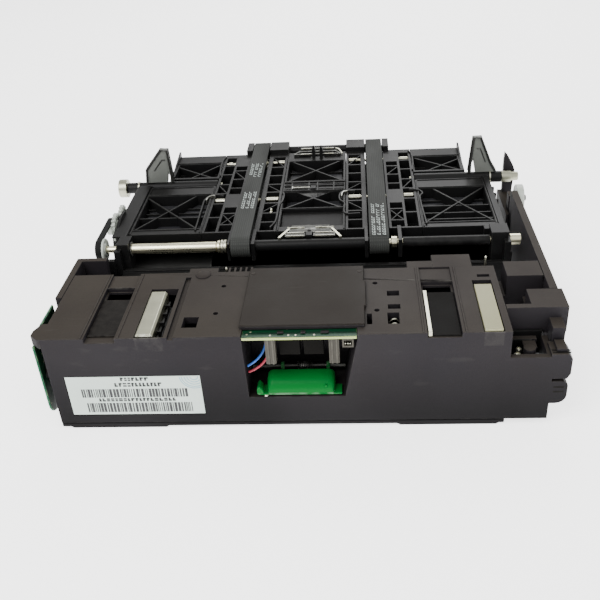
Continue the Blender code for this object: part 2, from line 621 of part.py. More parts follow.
def ladder(side, place):
    """Frame beside a belt: walls and rungs, the drive shaft's arm and the rear roller's block."""
    sign = -1 if side == "left" else 1
    top = 0.0563
    y = (FRONT_HALF[0], REAR_HALF[1])

    def across(near, far):
        return sorted((sign * near, sign * far))

    if place == "inner":
        span = across(0.0203, 0.0332)
        arm = across(0.0312, 0.0332)
        block = span
        front_rungs = (-0.0135, -0.0020, 0.0100, 0.0240, 0.0400)
        columns = [(across(0.0219, 0.0302), (*front_rungs, 0.0520, 0.0660, 0.0800, 0.0980))]
    else:
        span = across(0.0456, 0.0643)
        arm = across(0.0500, 0.0522) if side == "right" else across(0.0456, 0.0470)
        block = across(0.0456, 0.0498)
        columns = [
            (across(0.0562, 0.0627), (-0.0135, 0.0060, 0.0250, 0.0400, 0.0540, 0.0700, 0.0850, 0.0990)),
            (across(0.0472, 0.0546), (-0.0135, -0.0040, 0.0110, 0.0200)),
            (across(0.0472, 0.0546), (0.0380, 0.0480, 0.0620, 0.0760, 0.0840)),
        ]
    adds = [
        box(span, y, (TRAY_BOTTOM, top)),
        box(arm, (DRIVE_Y - 0.0050, y[0] + 0.001), (TRAY_BOTTOM, 0.0575)),
        box(block, (y[1] - 0.001, REAR_Y + 0.0030), (TRAY_BOTTOM, 0.0595)),
    ]
    cuts = []
    for inside, rungs in columns:
        for low, high in zip(rungs, rungs[1:]):
            cuts.append(box(inside, (low, high - 0.0014), (TRAY_BOTTOM + 0.0020, top + PAST)))
    everywhere = (-WIDTH, WIDTH)
    hole = SLEEVE_RADIUS + GAP if place == "inner" else BORE_RADIUS
    cuts.append(rod("X", (DRIVE_Y, SHAFT_Z), hole, everywhere, 20))
    cuts.append(rod("X", (REAR_Y, SHAFT_Z), hole, everywhere, 20))
    for row in IDLER_ROWS.values():
        cuts.append(rod("X", (row, IDLER_Z), IDLER_PIN_RADIUS + GAP, everywhere, 12))
    if place == "outer":
        socket = across(BAR_INNER - 0.0040, BAR_INNER + PAST)
        cuts.append(rod("X", (BAR_Y, SHAFT_Z), ROD_RADIUS + GAP, socket, 16))
    solid("ladder_" + side + "_" + place, "frame_black", adds, cuts)


def ladders():
    for side in ("left", "right"):
        ladder(side, "outer")
        ladder(side, "inner")


def belts():
    """Flat transport belts round the drive roller and the rear roller."""
    circles = [(DRIVE_Y, SHAFT_Z, BELT_OUTER), (REAR_Y, SHAFT_Z, BELT_OUTER)]
    outer = loop_outline(circles, 0.0, 12)
    inner = loop_outline(circles, -BELT_THICK, 12)
    for side, sign in (("left", -1), ("right", 1)):
        middle = sign * BELT_X
        span = (middle - BELT_WIDTH / 2, middle + BELT_WIDTH / 2)
        past = (span[0] - PAST, span[1] + PAST)
        solid("belt_" + side, "belt_rubber", [prism("X", outer, span)], [prism("X", inner, past)])


def pulley_pair(y):
    """Two belt pulleys joined by a sleeve, all round one axis."""
    centre = (y, SHAFT_Z)
    half = BELT_WIDTH / 2
    shapes = [rod("X", centre, SLEEVE_RADIUS, (-BELT_X - half + 0.001, BELT_X + half - 0.001), 20)]
    for sign in (-1, 1):
        span = (sign * BELT_X - half, sign * BELT_X + half)
        shapes.append(rod("X", centre, PULLEY_RADIUS, span, 28))
    return shapes


def drive_shaft_parts():
    """Steel drive shaft with its roller, sleeve, bearing and timing pulley."""
    axis = (DRIVE_Y, SHAFT_Z)
    origin = (0.0, DRIVE_Y, SHAFT_Z)
    solid("drive_shaft", "steel", [
        rod("X", axis, SHAFT_RADIUS, (TIMING_X[0] - 0.0012, 0.1125), 20),
        rod("X", axis, 0.0030, (-0.1030, -0.0537), 24),
        rod("X", axis, 0.0036, (-0.0530, -0.0514), 24),
        rod("X", axis, 0.0034, (0.0461, 0.0494), 24),
        rod("X", axis, 0.0031, (0.1119, 0.1178), 24),
    ], (), origin)
    roller_bore = rod("X", axis, BORE_RADIUS, (-0.06, 0.06), 20)
    solid("drive_roller", "frame_black", pulley_pair(DRIVE_Y), [roller_bore], origin)
    solid("drive_sleeve", "frame_black", [
        rod("X", axis, 0.0029, (0.0526, BOSS_INNER - 0.0004), 20),
    ], [rod("X", axis, BORE_RADIUS, (0.05, BOSS_INNER), 20)], origin)
    solid("shaft_bearing", "sheet_metal", [
        rod("X", axis, 0.0040, (-0.0510, -0.0474), 24),
    ], [rod("X", axis, BORE_RADIUS, (-0.06, -0.04), 20)])
    solid("timing_pulley", "white_plastic", [
        rod("X", axis, 0.0066, (GEAR_X[0], GEAR_X[1] - 0.0004), 28),
        rod("X", axis, TIMING_RADII["drive"] - GAP, (TIMING_X[0] - 0.0004, GEAR_X[0] + 0.0005), 24),
    ], [rod("X", axis, BORE_RADIUS, (-0.13, -0.11), 20)], origin)


def rear_roller():
    axis = (REAR_Y, SHAFT_Z)
    shapes = pulley_pair(REAR_Y)
    shapes.append(rod("X", axis, SHAFT_RADIUS, (-0.0496, 0.0496), 20))
    solid("rear_roller", "frame_black", shapes, (), (0.0, REAR_Y, SHAFT_Z))


def idler_rollers():
    """Small support rollers under each belt's upper run, turned with their pins."""
    for side, sign in (("left", -1), ("right", 1)):
        for row, y in IDLER_ROWS.items():
            pin = sorted((sign * 0.0212, sign * 0.0632))
            barrel = (sign * BELT_X - 0.0050, sign * BELT_X + 0.0050)
            solid("idler_" + row + "_" + side, "steel", [
                rod("X", (y, IDLER_Z), IDLER_PIN_RADIUS, pin, 12),
                rod("X", (y, IDLER_Z), IDLER_RADIUS, barrel, 20),
            ], (), (0.0, y, IDLER_Z))


def timing_drive():
    """Motor, toothed belt and the two white gears on the left side plate."""
    circles = [
        (*IDLER_GEAR_AT, TIMING_RADII["idler"]),
        (DRIVE_Y, SHAFT_Z, TIMING_RADII["drive"]),
        (*MOTOR_AT, TIMING_RADII["motor"]),
    ]
    outer = loop_outline(circles, TIMING_THICK)
    inner = loop_outline(circles, 0.0)
    past = (TIMING_X[0] - PAST, TIMING_X[1] + PAST)
    solid("timing_belt", "timing_rubber", [prism("X", outer, TIMING_X)], [prism("X", inner, past)])

    stub = (GEAR_X[1] - 0.0005, -PLATE_INNER - GAP)
    hub = (TIMING_X[0] - 0.0004, GEAR_X[0] + 0.0005)
    solid("timing_gear", "white_plastic", [
        prism("X", gear_outline(IDLER_GEAR_AT, IDLER_GEAR_TEETH, 0.0), GEAR_X),
        rod("X", IDLER_GEAR_AT, TIMING_RADII["idler"] - GAP, hub, 24),
        rod("X", IDLER_GEAR_AT, 0.0015, stub, 12),
    ], (), (GEAR_X[0], *IDLER_GEAR_AT))
    solid("end_gear", "white_plastic", [
        prism("X", gear_outline(END_GEAR_AT, END_GEAR_TEETH, 0.5), GEAR_X),
        rod("X", END_GEAR_AT, 0.0032, (GEAR_X[0] - 0.0015, GEAR_X[0] + 0.0005), 20),
        rod("X", END_GEAR_AT, 0.0015, stub, 12),
    ], (), (GEAR_X[0], *END_GEAR_AT))
    solid("motor_pulley", "steel", [
        rod("X", MOTOR_AT, TIMING_RADII["motor"] - GAP, hub, 24),
        rod("X", MOTOR_AT, 0.0015, (GEAR_X[0], -0.1040), 12),
    ], (), (GEAR_X[0], *MOTOR_AT))
    solid("drive_motor", "sheet_metal", [
        rod("X", MOTOR_AT, 0.0165, (-PLATE_INNER + GAP, -0.0600), 32),
    ], [rod("X", MOTOR_AT, 0.0020, (-PLATE_INNER - PAST, -0.1030), 16)])


def side_bars():
    """On each side a steel rod with a bush at its outer end, in a tube with a grey fin on it."""
    axis = (BAR_Y, SHAFT_Z)
    origin = (0.0, BAR_Y, SHAFT_Z)
    fin_y = (BAR_Y - FIN_THICK / 2, BAR_Y + FIN_THICK / 2)
    bushes = {
        "left": [rod("X", axis, 0.0060, (-0.1310, -0.1256), 28)],
        "right": [rod("X", axis, 0.0037, (0.1207, 0.1266), 24), rod("X", axis, 0.0028, (0.1260, 0.1312), 20)],
    }
    rods = {"left": (-0.1300, -BAR_INNER + 0.0030), "right": (BAR_INNER - 0.0030, 0.1300)}
    tubes = {"left": (-0.1253, -BAR_INNER), "right": (BAR_INNER, 0.1204)}
    base = FIN_BASE
    fins = {
        "left": [(-0.1120, base), (-0.0940, base), (-0.0952, 0.0805), (-0.1000, 0.0805), (-0.1110, 0.0670)],
        "right": [(0.0993, base), (0.1168, base), (0.1132, 0.0640), (0.1064, 0.0815), (0.1015, 0.0815)],
    }
    below = base - PAST
    notches = {
        "left": [(-0.0985, below), (-0.0958, below), (-0.0958, 0.0620), (-0.0966, 0.0645)],
        "right": [(0.1010, below), (0.1045, below), (0.1020, 0.0660), (0.1012, 0.0640)],
    }
    for side in ("left", "right"):
        middle = rod("X", axis, ROD_RADIUS, rods[side], 16)
        solid("bar_rod_" + side, "steel", [middle, *bushes[side]], (), origin)
        bore = rod("X", axis, ROD_RADIUS + GAP, (-0.14, 0.14), 16)
        round_bar = rod("X", axis, BAR_RADIUS, tubes[side], 28)
        solid("bar_tube_" + side, "frame_black", [round_bar], [bore], origin)
        notch = prism("Y", notches[side], (fin_y[0] - PAST, fin_y[1] + PAST))
        solid("guide_fin_" + side, "grey_plastic", [prism("Y", fins[side], fin_y)], [notch], origin)


def transport_brackets():
    """Bent metal plates at the middle of the transport's front and back."""
    low = TRAY_TOP + GAP
    raised = (SHAFT_Z + SLEEVE_RADIUS + GAP, SHAFT_Z + SLEEVE_RADIUS + GAP + 0.0010)
    front = [(-0.0182, -0.0262), (0.0184, -0.0262), (0.0132, -0.0142), (-0.0132, -0.0142)]
    window = [(-0.0135, -0.0238), (0.0135, -0.0238), (0.0112, -0.0190), (-0.0112, -0.0190)]
    solid("front_center_bracket", "sheet_metal", [
        prism("Z", front, raised),
        box((-0.0110, 0.0110), (-0.0150, -0.0104), (low, raised[1])),
    ], [prism("Z", window, (raised[0] - PAST, raised[1] + PAST))])
    z = (low, low + 0.0010)
    solid("rear_center_bracket", "sheet_metal", [
        box((-0.0160, 0.0165), (0.0960, 0.0982), z),
        box((-0.0125, 0.0131), (0.1010, 0.1062), z),
        box((-0.0125, -0.0080), (0.0970, 0.1020), z),
        box((0.0085, 0.0131), (0.0970, 0.1020), z),
    ])


clear_scene()
front_housing()
base_cover()
deck_parts()
recess_parts()
release_handle()
inner_parts()
side_parts()
transport_chassis()
trays()
ladders()
belts()
drive_shaft_parts()
rear_roller()
idler_rollers()
timing_drive()
side_bars()
transport_brackets()
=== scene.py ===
"""Looks of the bill validator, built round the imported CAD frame. +Z up."""
import json
import math
import random
from collections import namedtuple

import bmesh
import bpy
from mathutils import Matrix, Vector


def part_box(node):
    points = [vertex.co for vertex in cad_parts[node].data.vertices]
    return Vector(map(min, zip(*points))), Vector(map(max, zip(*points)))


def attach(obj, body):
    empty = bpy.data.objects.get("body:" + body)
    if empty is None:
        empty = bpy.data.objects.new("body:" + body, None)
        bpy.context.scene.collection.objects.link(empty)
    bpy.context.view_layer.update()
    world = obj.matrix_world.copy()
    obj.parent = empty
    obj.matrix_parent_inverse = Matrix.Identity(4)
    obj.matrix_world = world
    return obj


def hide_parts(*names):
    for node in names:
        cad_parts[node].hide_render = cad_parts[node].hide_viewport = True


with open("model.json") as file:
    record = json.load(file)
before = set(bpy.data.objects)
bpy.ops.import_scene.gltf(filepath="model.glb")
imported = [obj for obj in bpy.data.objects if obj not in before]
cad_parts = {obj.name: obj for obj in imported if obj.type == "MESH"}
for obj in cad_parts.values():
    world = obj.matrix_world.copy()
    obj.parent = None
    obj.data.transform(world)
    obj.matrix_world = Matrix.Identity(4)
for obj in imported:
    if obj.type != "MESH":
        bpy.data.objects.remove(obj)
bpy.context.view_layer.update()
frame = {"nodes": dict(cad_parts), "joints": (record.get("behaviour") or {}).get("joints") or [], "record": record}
MM = 0.001
Corner = namedtuple("Corner", "x y z")


def box(node):
    """A node's lowest and highest corners at rest, in millimetres."""
    return [Corner(*(place / MM for place in corner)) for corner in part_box(node)]


def middle(node):
    """Where a node's middle lies along Y and Z."""
    low, high = box(node)
    return (low.y + high.y) / 2, (low.z + high.z) / 2


# Places read from the frame, in millimetres as all the details below; piece() puts them in metres.
FRONT = box("front_housing")[0].y
BLOCK_BACK = box("center_cover_plate")[1].y
DECK = box("front_housing")[1].z
TRAY_TOP = box("tray_front_left")[1].z
PLATE_OUTER = box("transport_chassis")[1].x
BOX_BACK = box("tray_rear_left")[1].y
SHAFT = middle("drive_sleeve")
HANDLE_PIN = middle("handle_pin")
PIVOTS = {joint["child"]: tuple(place / MM for place in joint["pos_m"][1:]) for joint in frame["joints"]}


# Materials. Lengths in this section are in metres, as the shaders read them.


MATERIALS = {}


class Surface:
    """A material under construction: nodes are added and linked by short calls."""

    def __init__(self, name, color, rough, metallic=0.0, specular=0.5):
        self.material = bpy.data.materials.new(name)
        self.material.use_nodes = True
        self.tree = self.material.node_tree
        self.shader = self.tree.nodes["Principled BSDF"]
        self.shader.inputs["Base Color"].default_value = (*color, 1.0)
        self.shader.inputs["Roughness"].default_value = rough
        self.shader.inputs["Metallic"].default_value = metallic
        self.shader.inputs["Specular IOR Level"].default_value = specular
        self.coords = self.tree.nodes.new("ShaderNodeTexCoord").outputs["Object"]
        self.normal = None
        MATERIALS[name] = self.material

    def add(self, kind, inputs=(), **settings):
        """A new node with its settings made, and its inputs linked or set."""
        node = self.tree.nodes.new(kind)
        for key, value in settings.items():
            setattr(node, key, value)
        for key, value in dict(inputs).items():
            if isinstance(value, bpy.types.NodeSocket):
                self.tree.links.new(value, node.inputs[key])
            else:
                node.inputs[key].default_value = value
        return node

    def noise(self, scale, detail=3.0, stretch=(1.0, 1.0, 1.0)):
        """Noise from 0 to 1 over the object's own coordinates, per metre."""
        moved = self.add("ShaderNodeMapping", {"Vector": self.coords, "Scale": stretch})
        made = self.add("ShaderNodeTexNoise", {"Vector": moved.outputs[0], "Scale": scale, "Detail": detail})
        return made.outputs["Fac"]

    def span(self, value, low, high, to_low=0.0, to_high=1.0):
        """A value's range mapped to another one, clamped."""
        keys = {"Value": value, "From Min": low, "From Max": high, "To Min": to_low, "To Max": to_high}
        return self.add("ShaderNodeMapRange", keys).outputs[0]

    def math(self, operation, first, second):
        """A sum, product or other operation on two values."""
        return self.add("ShaderNodeMath", {0: first, 1: second}, operation=operation).outputs[0]

    def paint(self, mask, color, share=1.0):
        """Lays another colour over the present one where the mask says."""
        mixer = self.add("ShaderNodeMix", data_type="RGBA")
        factor = self.math("MULTIPLY", mask, share)
        self.tree.links.new(factor, mixer.inputs["Factor"])
        source = self.shader.inputs["Base Color"]
        if source.is_linked:
            self.tree.links.new(source.links[0].from_socket, mixer.inputs["A"])
        else:
            mixer.inputs["A"].default_value = source.default_value
        mixer.inputs["B"].default_value = (*color, 1.0)
        self.tree.links.new(mixer.outputs["Result"], source)

    def shelter(self, reach, inside=False):
        """How open the surface is within a reach, looking outward or into the solid."""
        settings = {"samples": 6, "inside": inside, "only_local": inside}
        return self.add("ShaderNodeAmbientOcclusion", {"Distance": reach}, **settings).outputs["AO"]

    def edges(self):
        """1 along outer edges, where handling wears the surface, broken up by noise."""
        ridge = self.span(self.shelter(0.0007, inside=True), 0.80, 0.50)
        broken = self.span(self.noise(260.0, 4.0), 0.40, 0.62)
        return self.math("MULTIPLY", ridge, broken)

    def corners(self):
        """1 in inner corners and between nearby parts, where painted shade darkens the colour."""
        return self.span(self.shelter(0.005), 0.75, 0.25)

    def facing_up(self):
        """1 on faces that look up, where dust and light rubbing show."""
        normal = self.add("ShaderNodeNewGeometry").outputs["Normal"]
        up = self.add("ShaderNodeSeparateXYZ", {"Vector": normal}).outputs["Z"]
        return self.span(up, 0.35, 0.95)

    def vary_roughness(self, mask, low, high):
        """Roughness that follows a texture between two limits."""
        self.tree.links.new(self.span(mask, 0.3, 0.7, low, high), self.shader.inputs["Roughness"])

    def bump(self, height, distance, strength=1.0):
        """Relief from a height texture, added to any relief there is already."""
        keys = {"Height": height, "Distance": distance, "Strength": strength}
        if self.normal:
            keys["Normal"] = self.normal
        self.normal = self.add("ShaderNodeBump", keys).outputs["Normal"]
        self.tree.links.new(self.normal, self.shader.inputs["Normal"])


def moulded(name, color, rough, grain, blotch, wear, dust=None, specular=0.5, corner_shade=0.45, shade=0.0):
    """Moulded plastic: grain, slow colour variation, worn edges, dust on top, painted shade in inner corners and a
    foot darkened by painted shade.
    """
    made = Surface(name, color, rough, specular=specular)
    if dust:
        made.paint(made.facing_up(), dust, 0.85)
    slow = made.noise(24.0, 5.0)
    made.paint(made.span(slow, 0.35, 0.75), blotch, 0.45)
    fine = made.noise(900.0, 2.0)
    made.paint(made.span(fine, 0.50, 0.75), blotch, 0.25)
    streaks = made.noise(70.0, 4.0, (1.0, 7.0, 3.0))
    made.paint(made.span(streaks, 0.62, 0.76), wear, 0.10)
    if shade:
        # Painted shade: the colour darkened towards the foot, where less light reaches.
        height = made.add("ShaderNodeSeparateXYZ", {"Vector": made.coords}).outputs["Z"]
        made.paint(made.span(height, 0.045, 0.008), (0.0045, 0.0042, 0.0046), shade)
        rubbed = made.noise(7.0, 3.0, (1.0, 1.0, 0.4))
        made.paint(made.span(rubbed, 0.45, 0.70), (0.034, 0.031, 0.034), 0.35)
    # Painted shade: near-black laid into inner corners and between nearby parts.
    made.paint(made.corners(), (0.004, 0.004, 0.004), corner_shade)
    made.paint(made.edges(), wear, 0.55)
    made.vary_roughness(slow, rough - 0.05, rough + 0.08)
    made.bump(made.noise(2300.0, 2.0), grain)


def metal(name, color, rough, tarnish, lines, stretch, spotted=0.6, worn=0.4):
    """Machined or stamped metal: fine lines along one way, tarnish spots, bright edges."""
    made = Surface(name, color, rough, metallic=1.0)
    spots = made.noise(95.0, 4.0)
    made.paint(made.span(spots, 0.48, 0.72), tarnish, spotted)
    if worn:
        made.paint(made.edges(), (0.90, 0.90, 0.85), worn)
    grooves = made.noise(lines, 2.0, stretch)
    made.vary_roughness(spots, rough - 0.05, rough + 0.10)
    made.bump(grooves, 0.000004, 0.5)


def woven(name, color, pale, pitch):
    """Flat belt: a fine crossed weave with rubbed high spots and darker grime."""
    made = Surface(name, color, 0.78, specular=0.3)
    waves = []
    for direction in ("X", "Y"):
        wave = made.add("ShaderNodeTexWave", {"Vector": made.coords, "Scale": pitch, "Distortion": 0.35},
                        bands_direction=direction)
        waves.append(wave.outputs["Fac"])
    weave = made.math("MULTIPLY", waves[0], waves[1])
    made.paint(made.span(weave, 0.1, 0.8), pale, 0.45)
    grime = made.noise(70.0, 4.0, (1.0, 0.25, 1.0))
    made.paint(made.span(grime, 0.52, 0.72), (0.02, 0.02, 0.02), 0.45)
    made.vary_roughness(grime, 0.68, 0.86)
    made.bump(weave, 0.00012, 0.7)


def board(name):
    """Solder mask over copper tracks, with paler pads and cut edges."""
    made = Surface(name, (0.0012, 0.016, 0.008), 0.38, specular=0.25)
    tipped = made.add("ShaderNodeMapping", {"Vector": made.coords, "Rotation": (0.0, math.pi / 2, 0.0)})
    runs = []
    for place, gap, width, row in ((made.coords, 0.00022, 0.0062, 0.0016),
                                   (tipped.outputs[0], 0.00025, 0.0110, 0.0027)):
        keys = {"Vector": place, "Scale": 1.0, "Mortar Size": gap, "Brick Width": width, "Row Height": row,
                "Mortar Smooth": 0.1}
        runs.append(made.add("ShaderNodeTexBrick", keys).outputs["Fac"])
    both = made.math("MAXIMUM", *runs)
    made.paint(both, (0.005, 0.060, 0.022), 0.4)
    pads = made.add("ShaderNodeTexVoronoi", {"Vector": made.coords, "Scale": 230.0}).outputs["Distance"]
    made.paint(made.span(pads, 0.13, 0.10), (0.42, 0.40, 0.28), 0.6)
    made.paint(made.edges(), (0.20, 0.36, 0.12), 0.7)
    made.vary_roughness(made.noise(40.0), 0.26, 0.42)
    made.bump(both, 0.00006, 0.6)


def paper(name, color, shade):
    """Label stock: faint fibre and handling marks."""
    made = Surface(name, color, 0.55)
    made.paint(made.span(made.noise(45.0, 5.0), 0.45, 0.75), shade, 0.5)
    made.paint(made.span(made.noise(900.0, 2.0), 0.5, 0.8), shade, 0.3)
    made.vary_roughness(made.noise(80.0), 0.45, 0.62)
    made.bump(made.noise(1500.0, 2.0), 0.00002, 0.5)


def ink(name, color, under):
    """Printing that has rubbed thin in places."""
    made = Surface(name, color, 0.6)
    made.paint(made.span(made.noise(420.0, 4.0), 0.55, 0.68), under, 0.3)
    made.vary_roughness(made.noise(300.0), 0.5, 0.7)
    made.bump(made.noise(2000.0), 0.00001)


def glossy(name, color, deep, rough, coat=0.0, specular=0.4):
    """Shiny moulded plastic or insulation with slight flow lines."""
    made = Surface(name, color, rough, specular=specular)
    made.shader.inputs["Coat Weight"].default_value = coat
    made.shader.inputs["Coat Roughness"].default_value = 0.08
    flow = made.noise(55.0, 3.0, (1.0, 3.0, 1.0))
    made.paint(made.span(flow, 0.45, 0.75), deep, 0.5)
    made.paint(made.edges(), (0.75, 0.80, 0.72), 0.12)
    made.vary_roughness(flow, rough, rough + 0.12)
    made.bump(made.noise(900.0, 2.0), 0.00002, 0.5)


moulded("housing", (0.0150, 0.0135, 0.0160), 0.55, 0.00005, (0.0215, 0.0180, 0.0175), (0.085, 0.080, 0.072),
        (0.0405, 0.0338, 0.0262), specular=0.07, shade=0.9)
moulded("cover_plastic", (0.0150, 0.0130, 0.0125), 0.50, 0.00005, (0.0190, 0.0155, 0.0130),
        (0.075, 0.070, 0.062), (0.0170, 0.0132, 0.0100), specular=0.08)
moulded("channel_liner", (0.0055, 0.0045, 0.0038), 0.34, 0.00002, (0.010, 0.008, 0.0065),
        (0.040, 0.036, 0.030), specular=0.08)
moulded("frame_black", (0.0060, 0.0060, 0.0062), 0.42, 0.00003, (0.0090, 0.0087, 0.0083),
        (0.048, 0.048, 0.045), (0.0078, 0.0076, 0.0072), specular=0.14, corner_shade=0.0)
moulded("pan_black", (0.0200, 0.0200, 0.0225), 0.50, 0.00003, (0.030, 0.030, 0.032), (0.060, 0.060, 0.058),
        specular=0.2, corner_shade=0.2)
woven("belt_rubber", (0.022, 0.0235, 0.0215), (0.056, 0.059, 0.053), 260.0)
moulded("timing_rubber", (0.005, 0.0052, 0.005), 0.7, 0.00004, (0.012, 0.012, 0.011), (0.045, 0.045, 0.042),
        specular=0.15)
metal("steel", (0.60, 0.59, 0.47), 0.30, (0.38, 0.37, 0.27), 40.0, (45.0, 1.0, 1.0))
metal("ground_steel", (0.42, 0.42, 0.32), 0.34, (0.28, 0.28, 0.20), 50.0, (60.0, 1.0, 1.0))
metal("shaft_steel", (0.86, 0.82, 0.60), 0.26, (0.74, 0.70, 0.50), 30.0, (60.0, 1.0, 1.0), spotted=0.4,
      worn=0.0)
metal("sheet_metal", (0.26, 0.26, 0.23), 0.40, (0.12, 0.12, 0.10), 60.0, (1.0, 20.0, 20.0))
metal("dark_metal", (0.060, 0.060, 0.055), 0.45, (0.03, 0.03, 0.028), 80.0, (1.0, 1.0, 1.0))
# Painted shade: the motor's sheet-metal can is coloured dark, for the dark inside where it sits.
metal("shaded_motor_can", (0.05, 0.05, 0.048), 0.42, (0.03, 0.03, 0.028), 60.0, (30.0, 1.0, 1.0))
board("circuit_board")
glossy("board_rim", (0.006, 0.120, 0.052), (0.003, 0.060, 0.024), 0.40, 0.0, 0.2)
paper("board_edge", (0.36, 0.42, 0.15), (0.20, 0.30, 0.08))
moulded("cream_plastic", (0.30, 0.29, 0.175), 0.42, 0.00003, (0.245, 0.235, 0.135), (0.50, 0.49, 0.38),
        specular=0.2, corner_shade=0.3)
# Cream plastic painted darker for the board posts and connector, as painted shade in the recess.
moulded("cream_plastic_shaded", (0.055, 0.050, 0.040), 0.45, 0.00003, (0.035, 0.032, 0.025), (0.14, 0.135, 0.11),
        specular=0.2)
glossy("green_plastic", (0.0, 0.108, 0.017), (0.0, 0.058, 0.009), 0.30, 0.0, 0.06)
moulded("grey_plastic", (0.130, 0.136, 0.124), 0.40, 0.00003, (0.078, 0.082, 0.074), (0.30, 0.31, 0.29),
        specular=0.3, corner_shade=0.3)
moulded("fin_rim", (0.014, 0.014, 0.013), 0.42, 0.00003, (0.022, 0.022, 0.020), (0.11, 0.11, 0.105),
        specular=0.2)
glossy("white_plastic", (0.48, 0.51, 0.46), (0.30, 0.33, 0.28), 0.32, 0.05)
paper("label_paper", (0.54, 0.62, 0.565), (0.43, 0.49, 0.45))
ink("label_ink", (0.018, 0.018, 0.020), (0.18, 0.20, 0.18))
ink("label_tint", (0.20, 0.36, 0.44), (0.42, 0.52, 0.52))
ink("belt_ink", (0.34, 0.38, 0.36), (0.09, 0.10, 0.09))
moulded("dark_glass", (0.0042, 0.0038, 0.0034), 0.55, 0.00001, (0.0075, 0.0062, 0.0050),
        (0.015, 0.014, 0.013), specular=0.04)
glossy("wire_blue", (0.015, 0.10, 0.42), (0.01, 0.05, 0.22), 0.30)
glossy("wire_red", (0.36, 0.02, 0.045), (0.18, 0.01, 0.02), 0.30)


# Shapes: each helper gives a shell, which is a list of points and the faces between them


def off(base, low, high):
    """A pair of limits, given from a base."""
    return base + low, base + high


def placed(axis, a, b, level):
    """The point at a and b across the axis and at a level along it."""
    point = [a, b]
    point.insert("XYZ".index(axis), level)
    return tuple(point)


def skin(rings, capped=True):
    """Walls between neighbouring rings of points, closed by caps or by joining the last to the first."""
    sides = len(rings[0])
    points = [point for ring in rings for point in ring]
    faces = []
    for first in range(0, len(points) - sides if capped else len(points), sides):
        second = (first + sides) % len(points)
        for side in range(sides):
            after = (side + 1) % sides
            faces.append((first + side, first + after, second + after, second + side))
    if capped:
        faces += [range(sides), range(len(points) - sides, len(points))]
    return points, faces


def prism(axis, outline, span):
    """An outline square to the axis, drawn out over the span along it."""
    return skin([[placed(axis, a, b, level) for a, b in outline] for level in span])


def block(x, y, z):
    """A box between (low, high) limits along each axis."""
    return prism("Z", [(x[0], y[0]), (x[1], y[0]), (x[1], y[1]), (x[0], y[1])], z)


def arc(centre, radius, start, end, steps):
    """Points along part of a circle, from one angle to another in degrees."""
    turns = (math.radians(start + (end - start) * step / steps) for step in range(steps + 1))
    return [(centre[0] + radius * math.cos(turn), centre[1] + radius * math.sin(turn)) for turn in turns]


def turned(axis, centre, profile, sides=32):
    """A turned piece: (place along the axis, radius) pairs from one end face round to the other.

    Where the profile starts and ends at the same pair it is a ring with a hole in it.
    """
    closed = profile[0] == profile[-1]
    rings = []
    for level, radius in profile[:-1] if closed else profile:
        rings.append([placed(axis, a, b, level) for a, b in arc(centre, radius, 0, 360, sides)[:-1]])
    return skin(rings, not closed)


def washer(axis, centre, span, bore, outer, sides=28):
    """A flat ring between two levels along the axis and two radii."""
    low, high = span
    return turned(axis, centre, [(low, bore), (low, outer), (high, outer), (high, bore), (low, bore)], sides)


def ahead_of(points, index):
    """The direction of a path at one of its points."""
    return (points[min(index + 1, len(points) - 1)] - points[max(index - 1, 0)]).normalized()


def tube(path, radius, sides=8):
    """A round wire through the points, with flat ends."""
    points = [Vector(point) for point in path]
    side = ahead_of(points, 0).orthogonal()
    rings = []
    for index, point in enumerate(points):
        along = ahead_of(points, index)
        side = (side - along * side.dot(along)).normalized()
        other = along.cross(side)
        rings.append([point + side * a + other * b for a, b in arc((0.0, 0.0), radius, 0, 360, sides)[:-1]])
    return skin(rings)


def fence(path, z, thick):
    """An upright wall of even thickness along a path seen from above."""
    points = [Vector(point) for point in path]
    left, right = [], []
    for index, point in enumerate(points):
        run = ahead_of(points, index)
        side = Vector((-run.y, run.x)) * thick / 2
        left.append(tuple(point + side))
        right.append(tuple(point - side))
    return prism("Z", left + right[::-1], z)


def smooth_path(points, steps=5):
    """A soft curve through points in a plane (Catmull-Rom)."""
    points = [Vector(point) for point in points]
    padded = [points[0] * 2 - points[1], *points, points[-1] * 2 - points[-2]]
    made = []
    for before, start, end, after in zip(padded, padded[1:], padded[2:], padded[3:]):
        bend = 2 * before - 5 * start + 4 * end - after
        twist = 3 * start - before - 3 * end + after
        for step in range(steps):
            t = step / steps
            made.append(0.5 * (2 * start + (end - before) * t + bend * t ** 2 + twist * t ** 3))
    return [*made, points[-1]]


def screw_head(axis, centre, face, out, radius):
    """A pan head screw with a recess, standing out from a face along an axis."""
    steps = ((-0.2, 1), (0.4, 1), (0.9, 0.8), (1, 0.45), (0.6, 0.40), (0.6, 0.1))
    return turned(axis, centre, [(face + out * rise, radius * share) for rise, share in steps], 22)


CREASE = math.radians(35)


def soften(piece, width, segments=2):
    """Rounded edges on a piece, of a width in metres, with even shading on its flats."""
    rounded = piece.modifiers.new("edges", "BEVEL")
    rounded.width = width
    rounded.segments = segments
    rounded.limit_method = "ANGLE"
    rounded.angle_limit = CREASE
    rounded.use_clamp_overlap = False
    shading = piece.modifiers.new("shading", "WEIGHTED_NORMAL")
    shading.weight = 80


def piece(name, shells, surface, body="root", slot=None, width=0.2, segments=2, stands_for=()):
    """A named piece made of shells in millimetres: rounded, painted, and riding on a body."""
    form = bmesh.new()
    for points, faces in shells:
        corners = [form.verts.new([place * MM for place in point]) for point in points]
        for face in faces:
            form.faces.new([corners[index] for index in face])
    bmesh.ops.recalc_face_normals(form, faces=form.faces)
    mesh = bpy.data.meshes.new(name)
    form.to_mesh(mesh)
    form.free()
    mesh.shade_smooth()
    mesh.materials.append(MATERIALS[surface])
    made = bpy.data.objects.new(name, mesh)
    bpy.context.scene.collection.objects.link(made)
    if width:
        soften(made, width * MM, segments)
    else:
        mesh.set_sharp_from_angle(angle=CREASE)
    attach(made, body)
    if stands_for:
        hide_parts(*stands_for)


# Camera, floor and light


